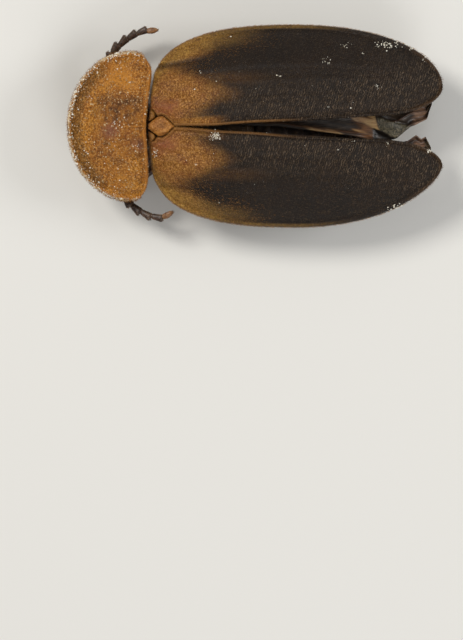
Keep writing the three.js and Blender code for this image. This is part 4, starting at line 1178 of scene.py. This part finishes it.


def make_belly(look):
    """Dark segments with chalky hind edges, and the creased pale light organ behind them."""
    rows, columns = 330, 220
    y = np.linspace(-0.1, 5.6, rows)
    half, floor, roof, middle = (along(pairs, y)[:, None] for pairs in
                                 (BELLY_HALF, BELLY_FLOOR, BELLY_ROOF, BELLY_MIDDLE))
    c, s = ring(columns)
    starts = np.concatenate([[-0.4], BELLY_EDGES])
    number = np.searchsorted(BELLY_EDGES, y)
    reach = np.append(BELLY_EDGES, 5.7)
    share = ((y - starts[number]) / (reach[number] - starts[number]))[:, None]
    lip = 0.1 * rise(share, 0, 0.9) - 0.11 * rise(share, 0.92, 0.08)
    x = middle + (half - 0.07 + lip) * boxy(c, 0.6)
    base = np.stack([x, y[:, None] * np.ones_like(c), np.ones_like(x)], -1)
    waves = 0.12 * rough(base, 1.1, 71, 3)
    z = mix(floor - lip + 0.06, roof, (1 + boxy(s, 0.55)) / 2)
    rim = np.abs(c) ** 6
    z = z + waves * 0.5 * (1 - rim) + rim * 0.1 * rough(base, 1.6, 73, 2)
    x = x + 0.05 * rough(base, 2.2, 74, 2) * rim * np.sign(c)
    wiggle = y[:, None] + (0.07 + 0.06 * smooth((y[:, None] - 3) / 0.5)) * rough(base, 1.4, 76, 3)
    grid = np.stack([x, wiggle, np.maximum(z, 0.004)], -1)
    edge = ridge(share, 0.9, 0.1)
    grains = 0.035 * np.maximum(noise(grid, 14, 78), 0) * edge
    below = smooth(-s / 0.3) * (grid[..., 2] > 0.06)
    grid[..., 2] -= grains * below
    ragged = 3.08 + 0.15 * rough(base, 1.5, 81, 2) + 0.9 * rise(s, 0, 0.5)
    pale = smooth((grid[..., 1] - ragged) / 0.12)
    phase = 2 * math.pi * (2 * share + 0.8 * rough(base, 1.3, 79, 2))
    folds = pale * below * ridge(np.abs(c), 0.4, 0.75)
    grid[..., 2] += 0.05 * folds * (1 + np.cos(phase))
    # Painted shade in the valleys between the folds, the dips at the front of each segment and the holes.
    valley = folds * smooth((np.cos(phase) - 0.35) / 0.5) * fall(share, 0.8, 0.2)
    dip = pale * below * (1 - smooth(share / (0.72 + 0.2 * rough(base, 1.5, 82, 2))))
    grid[..., 2] += dip * (0.1 + 0.1 * rise(grid[..., 1], 3.3, 0.6))
    # The holes have no depth in the mesh; they are painted shade only.
    hole_shade = spots(grid[..., 0], grid[..., 1], BELLY_HOLE_SHADE)
    valley = clamp01(valley + 0.9 * rise(dip, 0.25, 0.6) + 0.8 * hole_shade * below)
    ragged_edge = smooth(0.5 + 1.6 * noise(grid, 2.4, 88))
    crumbs = 0.55 * (c < 0) * rise(y[:, None], 0.9, 0.4) * smooth(noise(grid, 3, 89) + 0.6)
    fringe = rim * np.maximum(0.4 * pale, crumbs)
    chalk = clamp01(edge * along(BELLY_CHALK, grid[..., 1])
                    * mix(ragged_edge, 0.55 + 0.45 * ragged_edge, pale) + fringe)
    crust = pale * below * rise(grid[..., 1], 4.3, 0.5) * smooth((noise(grid, 2.6, 93) + 0.1) / 0.4)
    chalk = np.maximum(chalk, 0.85 * crust)
    shape = Shape(("pale", "chalk", "valley"))
    shape.add_tube(grid, pale=pale, chalk=chalk, valley=0.8 * valley)
    shape.build("belly", look,
                ["abdomen_1", "abdomen_2", "abdomen_3", "abdomen_4",
                 "light_organ_1", "light_organ_2", "light_organ_3", "light_organ_4"])
    return grid, chalk


def make_back(look):
    """Dark plates over the belly, each lapping over the next, ragged behind."""
    rows, columns = 200, 100
    u = np.linspace(0, 1, rows)[:, None]
    s = np.sin(np.linspace(-1, 1, columns) * math.pi / 2)[None]
    y = mix(0, 4.75, u) * np.ones_like(s)
    taper = 2.42 * (1 - 0.16 * (1 - u) ** 3 - 0.1 * u**4)
    x = along(BELLY_MIDDLE, y) * 0.6 + taper * s
    floor = along(BELLY_ROOF, y) + 0.02 - 0.12 * np.abs(s) ** 3.2
    places = np.stack([x, y, floor], -1)
    step = (u * 7) % 1
    upper = floor + 0.3 + 0.1 * rise(step, 0, 0.85) - 0.1 * rise(step, 0.9, 0.1) - 0.16 * s**2
    upper = upper + 0.05 * rough(places, 1.8, 83, 3)
    border = np.minimum((1 - np.abs(s)) * taper, np.minimum(y, 4.75 - y))
    ragged = 0.06 * rough(places, 2, 85) + 0.14 * rough(places, 4, 86, 2) * np.abs(s) ** 8 * rise(u, 0, 0.2)
    points, faces, pick, _ = leaf(x + ragged, y, *round_border(upper, floor, border, 0.1))
    shape = Shape(("pale", "chalk", "valley"))
    flecks = smooth(noise(places, 7, 87) + 0.3) * rise(np.abs(s), 0.94, 0.05) * rise(y, 1.4, 1)
    shape.add(points, faces, chalk=pick(0.75 * flecks))
    shape.build("abdomen_back", look, ["abdomen_back"])


# Legs and feelers

def profile(pairs, t, size):
    """Half-widths along a limb from a shape of share and part of the size."""
    return size * along(pairs, t)


FEMUR_SHAPE = [(0, 0.5), (0.06, 0.72), (0.25, 0.95), (0.5, 1), (0.75, 0.9), (0.92, 0.7), (1, 0.5)]
TIBIA_SHAPE = [(0, 0.5), (0.06, 0.72), (0.12, 0.7), (0.3, 0.85), (0.7, 1), (0.94, 1.04), (1, 0.7)]
COXA_SHAPE = [(0, 0.45), (0.12, 0.85), (0.5, 1), (0.85, 0.9), (1, 0.5)]
FEMUR_HALF = {"front": 0.23, "middle": 0.29, "hind": 0.28}
TIBIA_HALF = {"front": 0.18, "middle": 0.2, "hind": 0.2}

# Half-heights of the coxa, femur and tibia
COXA_HIGH = 0.19
FEMUR_HIGH = 0.165
TIBIA_HIGH = 0.145
LIMB_RIBS = 5  # low ribs along each limb
SPUR_HALF = 0.02
CLAW_HALF = 0.026
FOOT_HALF = 0.148
FOOT_LOW = 0.16  # lowest height of the middle of a foot
FOOT_STEPS = 120
FOOT_SHARES = (0.3, 0.2, 0.16, 0.14, 0.2)  # lengths of its five segments


def add_limb(shape, grids, path, wide, high, warm, sides=22, square=1.0, seed=0, stripe=0.0):
    grid = tube_grid(path, wide, high, sides, square)
    ribs = np.cos(2 * math.pi * LIMB_RIBS * np.arange(sides) / sides)
    relief = 0.016 * rough(grid, 5, 90 + seed, 2) + 0.011 * ribs
    outward = unit(grid - grid.mean(1, keepdims=True))
    grid = grid + outward * relief[..., None]
    grid[..., 2] = np.maximum(grid[..., 2], 0.002)
    band = stripe * smooth((-np.sin(around(sides) + 0.35) - 0.84) / 0.14)
    warm = np.maximum(np.broadcast_to(warm, len(path))[:, None], band)
    shape.add_tube(grid, warm=warm)
    grids.append(closed_columns(grid))


def make_leg(name, leg, look, seed):
    shape = Shape(("warm",))
    grids = []
    coxa_end, hip = np.array(leg["coxa"][1]), np.array(leg["femur"][0])
    knee = np.array(leg["femur"][1])
    inward = unit(knee - hip)
    add_coxa(shape, grids, leg, coxa_end, hip, inward, seed)
    add_thigh_and_shin(shape, grids, leg, name.split("_")[0], hip, knee, inward, seed + 2)
    add_foot(shape, grids, leg, seed + 4)
    shape.build("leg_" + name, look,
                [f"{part}_{name}" for part in ("coxa", "femur", "tibia", "tarsus")])
    return grids


def add_coxa(shape, grids, leg, coxa_end, hip, inward, seed):
    """The coxa and the small joint between it and the femur."""
    t = np.linspace(0, 1, 26)
    coxa = curve(leg["coxa"], 26)
    add_limb(shape, grids, coxa, profile(COXA_SHAPE, t, leg["wide"]), profile(COXA_SHAPE, t, COXA_HIGH),
             0.85 + 0 * t, 26, 1.0, seed)
    t = np.linspace(0, 1, 16)
    trochanter = curve([coxa_end, (coxa_end + hip) / 2 + np.array([0, 0, -0.03]), hip + inward * 0.22], 16)
    add_limb(shape, grids, trochanter, profile([(0, 0.7), (0.5, 1), (1, 0.5)], t, 0.14), 0.13, 0.9, 18, 1.0,
             seed + 1)


def add_thigh_and_shin(shape, grids, leg, pair, hip, knee, inward, seed):
    """The femur, and the tibia with its two spurs."""
    t = np.linspace(0, 1, 44)
    femur = curve([hip + inward * 0.05, knee + inward * 0.05], 44)
    warm = 0.55 * rise(t, 0.93, 0.05) + 0.5 * fall(t, 0.1, 0.08)
    add_limb(shape, grids, femur, profile(FEMUR_SHAPE, t, FEMUR_HALF[pair]),
             profile(FEMUR_SHAPE, t, FEMUR_HIGH), warm, 26, 0.9, seed, 0.5)
    root, ankle = (np.array(p) for p in leg["tibia"])
    heights = [(0, root[2] + 0.06), (0.14, mix(root[2], TABLE_REST, 0.65)), (0.3, TABLE_REST + 0.005),
               (0.65, TABLE_REST + 0.04), (1, ankle[2])]
    t = np.linspace(0, 1, 52)
    tibia = mix(mix(root, knee, 0.45), ankle, t[:, None])
    tibia[:, 2] = np.convolve(np.pad(along(heights, t), 3, mode="edge"), np.ones(7) / 7, mode="valid")
    warm = 0.5 * fall(t, 0.07, 0.06) + 0.2 * rise(t, 0.95, 0.04)
    add_limb(shape, grids, tibia, profile(TIBIA_SHAPE, t, TIBIA_HALF[pair]),
             profile(TIBIA_SHAPE, t, TIBIA_HIGH), warm, 24, 0.9, seed + 1, 0.25)
    forward = unit(ankle - root)
    aside = np.array([-forward[1], forward[0], 0])
    taper = SPUR_HALF * np.linspace(1, 0.1, 6)
    for sign in (-1, 1):
        start = ankle - forward * 0.08 + aside * 0.08 * sign
        stop = ankle + forward * 0.12 + aside * 0.1 * sign
        shape.add_tube(tube_grid(curve([start, stop], 6), taper, taper, 8), warm=0.5)


def add_foot(shape, grids, leg, seed):
    """The five segments of the tarsus and its two claws."""
    foot = curve(leg["tarsus"], FOOT_STEPS + 1)
    foot[:, 2] = np.maximum(foot[:, 2], FOOT_LOW)
    lengths = np.cumsum([0, *FOOT_SHARES])
    for joint in range(5):
        first, last = (int(round(FOOT_STEPS * share * 0.96)) for share in lengths[joint:joint + 2])
        path = foot[first:last + 3]
        t = np.linspace(0, 1, len(path))
        lobes = [(0, 0.45), (0.3, 0.7), (0.8, 1), (1, 0.6)]
        if joint == 4:
            lobes = [(0, 0.45), (0.8, 0.6), (1, 0.4)]
        size = FOOT_HALF * (1.15 if joint == 3 else 1.0) * (1 - 0.06 * joint)
        add_limb(shape, grids, path, profile(lobes, t, size), profile(lobes, t, size * 0.75), 0.0, 16, 1.0,
                 seed + joint)
    tip, onward = foot[112], unit(foot[118] - foot[100])
    aside = np.array([-onward[1], onward[0], 0])
    taper = CLAW_HALF * np.linspace(1, 0.1, 10)
    for sign in (-1, 1):
        bend = tip + onward * 0.09 + aside * 0.06 * sign
        end = tip + onward * 0.16 + aside * 0.08 * sign - np.array([0, 0, 0.05])
        shape.add_tube(tube_grid(curve([tip, bend, end], 10), taper, taper, 8), warm=0.35)


def make_feeler(name, side, look, seed):
    """Eleven flat saw-toothed segments; the last is orange."""
    shape = Shape(("warm",))
    grids = []
    path = curve(ANTENNAE[name], 331)
    for n in range(11):
        start, stop = n * 30, (n + 1) * 30
        stretch = path[max(start - 2, 0):stop + 1]
        t = np.linspace(0, 1, len(stretch))
        taper = (0.62 if n == 1 else 1.0) * mix(1, 0.72, max(0, n - 5) / 5)
        wide = 0.21 * taper * along([(0, 0.5), (0.2, 0.68), (0.86, 1.0), (0.96, 0.85), (1, 0.5)], t)
        if n == 10:
            wide = 0.125 * np.sin(np.linspace(0.45, 2.95, len(t))) ** 0.6
        tooth = 0.36 * along([(0, 0), (0.88, 1), (1, 0.5)], t) * (0 < n < 10)
        grid = tube_grid(stretch, wide, wide * 0.6, 20, 1.0, tooth * side)
        outward = unit(grid - grid.mean(1, keepdims=True))
        grid = grid + outward * 0.012 * rough(grid, 7, 120 + seed + n, 2)[..., None]
        warm = np.full(len(t), 0.75 if n == 10 else 0.0) + (0.25 * fall(t, 0.12, 0.1) if n else 0.2)
        shape.add_tube(grid, warm=clamp01(warm))
        grids.append(closed_columns(grid))
    shape.build("antenna_" + name, look, ["antenna_" + name])
    return grids


def make_limb_down(name, grids, count, look, rng, length):
    """Hairs that lean towards the tip of each limb."""
    roots, outward, places, which = scatter(grids, count, rng)
    onward = np.array([unit(grid[-1].mean(0) - grid[0].mean(0)) for grid in grids])[which]
    spread_out = 0.3 * rng.standard_normal((count, 3))
    shape = Shape()
    add_hairs(shape, roots, outward, onward + spread_out, rng.uniform(*length, count), 0.006, places, 0.5)
    for points in shape.points:
        np.maximum(points[:, 2], 0.001, out=points[:, 2])
    shape.build(name, look)


# Head

def make_head(mouth, eye_material):
    """Skull, face, lip, chin and feeler sockets, then the eyes, jaws and palps."""
    shape = Shape(("warm",))
    skull = ellipsoid_grid(HEAD + np.array([0, 0.1, 0.12]), (0.56, 0.5, 0.5))
    skull = skull + 0.03 * rough(skull, 3, 131)[..., None] * unit(skull - HEAD)
    shape.add_tube(skull, warm=0.1)
    face = ellipsoid_grid(HEAD + np.array([0, -0.16, -0.26]), (0.24, 0.44, 0.44), 34, 40)
    face = face + 0.04 * rough(face, 6, 132)[..., None] * unit(face - HEAD)
    shape.add_tube(face, warm=0.15 * fall(face[..., 2], 1.9, 0.3))
    lip = ellipsoid_grid(HEAD + np.array([0, 0.12, -0.6]), (0.2, 0.14, 0.12), 24, 28)
    shape.add_tube(lip + 0.02 * rough(lip, 8, 133)[..., None], warm=0.0)
    chin = ellipsoid_grid(HEAD + np.array([0, 0.42, -0.42]), (0.36, 0.34, 0.2), 24, 28)
    shape.add_tube(chin + 0.02 * rough(chin, 6, 134)[..., None], warm=0.45)
    for side in (-1, 1):
        socket = ellipsoid_grid((HEAD[0] + side * 0.26, -6.02, 1.34), (0.15, 0.13, 0.13), 18, 20)
        shape.add_tube(socket, warm=0.2)
    shape.build("head", mouth, ["head"])
    for name, side in SIDES.items():
        ball = Shape()
        centre = HEAD + np.array([side * EYE_SPREAD, -0.2, -0.05])
        ball.add_tube(ellipsoid_grid(centre, EYE_HALF + 0.02, 56, 72))
        ball.build("eye_" + name, eye_material, ["eye_" + name])
        make_jaw(name, side, mouth)
        make_palp(name, side, mouth)


def make_jaw(name, side, mouth):
    """A curved, pointed mandible."""
    root = HEAD + np.array([side * 0.15, 0.16, -0.64])
    bends = np.array([(0, 0, 0), (0.11, 0.1, -0.05), (0.1, 0.28, -0.1), (-0.04, 0.4, -0.12)]) * (side, 1, 1)
    path = curve(root + bends, 26)
    size = 0.085 * along([(0, 1), (0.5, 0.75), (1, 0.12)], np.linspace(0, 1, 26))
    shape = Shape(("warm",))
    shape.add_tube(tube_grid(path, size, size * 0.9, 18), warm=np.linspace(0.3, 0, 26))
    shape.build("mandible_" + name, mouth, ["mandible_" + name])


def make_palp(name, side, mouth):
    """A bent palp of four segments that swell towards their ends."""
    root = HEAD + np.array([side * 0.4, 0.1, -0.7])
    path = curve([root + np.array([side * 0.14 * math.sin(2.6 * t), 0.64 * t, -0.2 * math.sin(2 * t)])
                  for t in np.linspace(0, 1, 7)], 73)
    shape = Shape(("warm",))
    for n, size in enumerate((0.08, 0.1, 0.11, 0.14)):
        stretch = path[max(n * 18 - 1, 0):(n + 1) * 18 + 1]
        t = np.linspace(0, 1, len(stretch))
        wide = size * along([(0, 0.5), (0.7, 1), (1, 0.55)], t)
        shape.add_tube(tube_grid(stretch, wide, wide * 0.8, 16), warm=0.15)
    shape.build("palp_" + name, mouth, ["palp_" + name])


# Crystals and dust

LUMP_PLACE = np.array([-0.48, -0.16, 1.12])  # the white lump at the front of the belly
LUMP_SPREAD = np.array([0.16, 0.16, 0.09])
# Specks on each wing case: X, Y, spread along X and Y, how many, size
DUST = {
    -1: [(-2.06, 1.0, 0.03, 0.06, 5, 0.03), (-3.7, -1.03, 0.01, 0.01, 1, 0.03),
         (-2.21, -2.27, 0.02, 0.02, 2, 0.035), (-2.0, -1.86, 0.01, 0.01, 1, 0.03),
         (-1.84, -1.57, 0.01, 0.01, 1, 0.02), (-1.5, -2.52, 0.02, 0.02, 2, 0.03),
         (-2.71, 2.96, 0.08, 0.1, 14, 0.02), (-3.35, 3.7, 0.05, 0.18, 9, 0.028),
         (-3.0, 4.49, 0.02, 0.04, 3, 0.03), (-1.63, 5.07, 0.1, 0.06, 12, 0.022),
         (-0.8, 3.04, 0.02, 0.02, 2, 0.03), (-0.76, 3.95, 0.02, 0.02, 2, 0.03),
         (-3.4, 5.6, 0.1, 0.35, 60, 0.03), (-3.2, 6.48, 0.05, 0.06, 8, 0.03),
         (-2.79, 7.06, 0.1, 0.1, 10, 0.025), (-0.9, 1.6, 0.9, 2.6, 16, 0.014)],
    1: [(0.4, -1.61, 0.09, 0.11, 60, 0.028), (1.4, -2.85, 0.02, 0.02, 2, 0.03),
        (1.57, -2.44, 0.03, 0.04, 4, 0.032), (1.4, -1.73, 0.01, 0.01, 1, 0.02),
        (3.18, -1.48, 0.01, 0.01, 1, 0.028), (0.94, 3.5, 0.02, 0.04, 3, 0.025),
        (0.61, 4.08, 0.02, 0.03, 4, 0.025), (0.7, 5.49, 0.03, 0.03, 5, 0.025),
        (1.1, -4.12, 0.12, 0.05, 20, 0.025), (3.4, 6.0, 0.1, 0.25, 26, 0.045),
        (1.02, 7.25, 0.05, 0.06, 16, 0.035), (1.5, 1.5, 0.8, 2.4, 14, 0.014)],
}


def make_crystals(hood, border, cases, belly, chalk, look, granular, rng):
    """White grains along the hood's rim, on the wing cases and on the ridges of the light organ."""
    shape = Shape()
    front = smooth((HOOD_WIDEST + 0.9 - hood[..., 1]) / 1.0)
    weight = fall(border, 0.2, 0.14) * (0.15 + np.maximum(noise(hood, 1.7, 203), 0) * 0.5) * front
    weight = weight + 0.13 * fall(border, 0.9, 0.5) * np.maximum(noise(hood, 2.6, 202), 0) * front
    weight = weight + 0.07 * hill(np.hypot(hood[..., 0] + 0.1, hood[..., 1] + 5.55) / 0.45) + 0.002
    weight = weight + 0.07 * hill(np.hypot(hood[..., 0] - 0.85, hood[..., 1] + 4.95) / 0.3)
    points, outward, places, _ = scatter([hood], HOOD_CRYSTALS, rng, [weight])
    sizes = 0.008 + 0.03 * rng.random(len(points)) ** 3
    add_grains(shape, points + outward * sizes[:, None] * 0.4, sizes, rng, places)
    shape.build("crystals_hood", look)

    shape = Shape()
    weight = fall(border, 0.1, 0.08) * smooth(0.4 + noise(hood, 4, 204)) * fall(hood[..., 1], -4.4, 0.3)
    points, outward, places, _ = scatter([hood], HOOD_GRANULES, rng, [weight + 0.012])
    sizes = 0.012 + 0.024 * rng.random(len(points))
    add_grains(shape, points + outward * sizes[:, None] * 0.4, sizes, rng, places)
    shape.build("granules_hood", granular)

    dust = Shape()
    for surface, side in cases:
        skin = surface.reshape(-1, 3)
        rough_edge = unit(np.cross(*np.gradient(surface, axis=(0, 1)))).reshape(-1, 3)
        rough_edge = rough_edge * np.sign(rough_edge[:, 2:])
        for x, y, wide, long, count, size in DUST[side]:
            specks = np.array([x, y]) + rng.normal(0, 1, (count, 2)) * (wide, long)
            near = [np.argmin(np.hypot(*(skin[:, :2] - speck).T)) for speck in specks]
            sizes = size * rng.uniform(0.35, 1.0, count)
            add_grains(dust, skin[near] + rough_edge[near] * sizes[:, None] * 0.4, sizes, rng,
                       rng.random((count, 2)) * 0.02 + 0.97)
    dust.build("dust_wing_cases", look)

    chalky = Shape()
    skin = closed_columns(belly)
    weight = closed_columns(chalk) ** 2 * (0.2 + (skin[..., 2] > 0.05))
    points, outward, places, _ = scatter([skin], BELLY_CRYSTALS, rng, [weight])
    outward = outward * np.sign(np.sum(outward * (points - np.array([-0.3, 2.8, 1.1])), -1, keepdims=True))
    sizes = 0.014 + 0.04 * rng.random(len(points)) ** 2.5
    centres = points + outward * sizes[:, None] * 0.3
    centres[:, 2] = np.maximum(centres[:, 2], sizes * 1.5)
    add_grains(chalky, centres, sizes, rng, places)
    lump = LUMP_PLACE + rng.normal(0, 1, (LUMP_CRYSTALS, 3)) * LUMP_SPREAD
    add_grains(chalky, lump, 0.02 + 0.05 * rng.random(LUMP_CRYSTALS) ** 2, rng,
               rng.random((LUMP_CRYSTALS, 2)) * 0.02 + 0.97)
    chalky.build("crystals_belly", look)


# Stage

def make_stage():
    bpy.ops.mesh.primitive_plane_add(size=3.0, location=(0, 0, 0))
    floor = bpy.context.object
    floor.name = "floor"
    look = Look("pale_floor", Roughness=0.9, Base_Color=tone("#d9d8d4"))
    floor.data.materials.append(look.material)

    world = bpy.data.worlds.new("studio")
    world.use_nodes = True
    world.node_tree.nodes["Background"].inputs["Color"].default_value = (0.96, 0.95, 0.94, 1)
    world.node_tree.nodes["Background"].inputs["Strength"].default_value = 0.3
    bpy.context.scene.world = world

    def lamp(name, place, size, power, color=(1, 1, 1)):
        light = bpy.data.lights.new(name, "AREA")
        light.shape = "DISK"
        light.size = size * MM
        light.energy = power
        light.color = color
        holder = bpy.data.objects.new(name, light)
        holder.location = Vector(place) * MM
        holder.rotation_euler = (-holder.location).to_track_quat("-Z", "Y").to_euler()
        bpy.context.scene.collection.objects.link(holder)

    lamp("key", (-70, -90, 130), 60, 0.2, (1, 0.97, 0.92))
    lamp("fill", (110, 40, 90), 90, 0.07)
    lamp("back", (-20, 130, 80), 70, 0.09)


# The camera looks straight down on the insect, which lies high in an upright frame, head to the left
PIXELS_PER_MM = 24.1
FRAME_PIXELS = (463, 640)
INSECT_PIXEL = (254.75, 126.25)  # where the middle of the insect shows
LENS = 200.0
SENSOR = 36.0


def make_camera():
    camera = bpy.data.cameras.new("camera")
    camera.lens = LENS
    camera.sensor_width = SENSOR
    camera.sensor_fit = "AUTO"
    camera.clip_start = 0.001
    holder = bpy.data.objects.new("camera", camera)
    bpy.context.scene.collection.objects.link(holder)
    height = FRAME_PIXELS[1] / PIXELS_PER_MM * LENS / SENSOR
    level = 3.2
    aim = Vector(((FRAME_PIXELS[1] / 2 - INSECT_PIXEL[1]) / PIXELS_PER_MM,
                  (FRAME_PIXELS[0] / 2 - INSECT_PIXEL[0]) / PIXELS_PER_MM, level))
    place = Vector((0, 0, level + height))
    away = (place - aim).normalized()
    right = Vector((-1, 0, 0)).cross(away).normalized()
    up = away.cross(right)
    holder.location = place * MM
    holder.rotation_euler = Matrix((right, up, away)).transposed().to_euler()
    bpy.context.scene.camera = holder


def main():
    make_stage()
    make_camera()
    rng = np.random.default_rng(SEED)
    case, horn, belly_skin, mouth, chalky = case_look(), horn_look(), belly_look(), mouth_look(), chalk_look()
    golden = down_look("golden_down", "#7a4a18", "#b8823a")
    dusky = down_look("dusky_down", "#2c2016", "#6a5236")
    brown = down_look("brown_down", "#3b2b1f", "#9a8062")

    cases = []
    for name, side in SIDES.items():
        surface = make_case("elytron_" + name, side, case)
        make_case_down("elytron_down_" + name, side, surface, dusky, golden, rng)
        cases.append((surface, side))
    hood, hood_below, border = make_hood(hood_look())
    make_hood_down(hood, hood_below, golden, rng)
    trunk_skin = trunk_look()
    make_shield(trunk_skin)
    membrane = membrane_look()
    for name, side in SIDES.items():
        make_wing("hindwing_" + name, side, membrane)
    make_trunk(trunk_skin)
    belly, chalk = make_belly(belly_skin)
    make_back(belly_skin)
    limbs = []
    for n, (name, leg) in enumerate(LEGS.items()):
        limbs += make_leg(name, leg, horn, 10 * n)
    make_limb_down("leg_down", limbs, LEG_HAIRS, brown, rng, LEG_HAIR)
    feelers = []
    for n, (name, side) in enumerate(SIDES.items()):
        feelers += make_feeler(name, side, horn, 20 * n)
    make_limb_down("antenna_down", feelers, FEELER_HAIRS, brown, rng, FEELER_HAIR)
    make_head(mouth, eye_look())
    granular = down_look("rim_granules", "#8a6130", "#d8bf94", 0.6)
    make_crystals(hood, border, cases, belly, chalk, chalky, granular, rng)


main()
bpy.context.scene.view_settings.view_transform = "Standard"
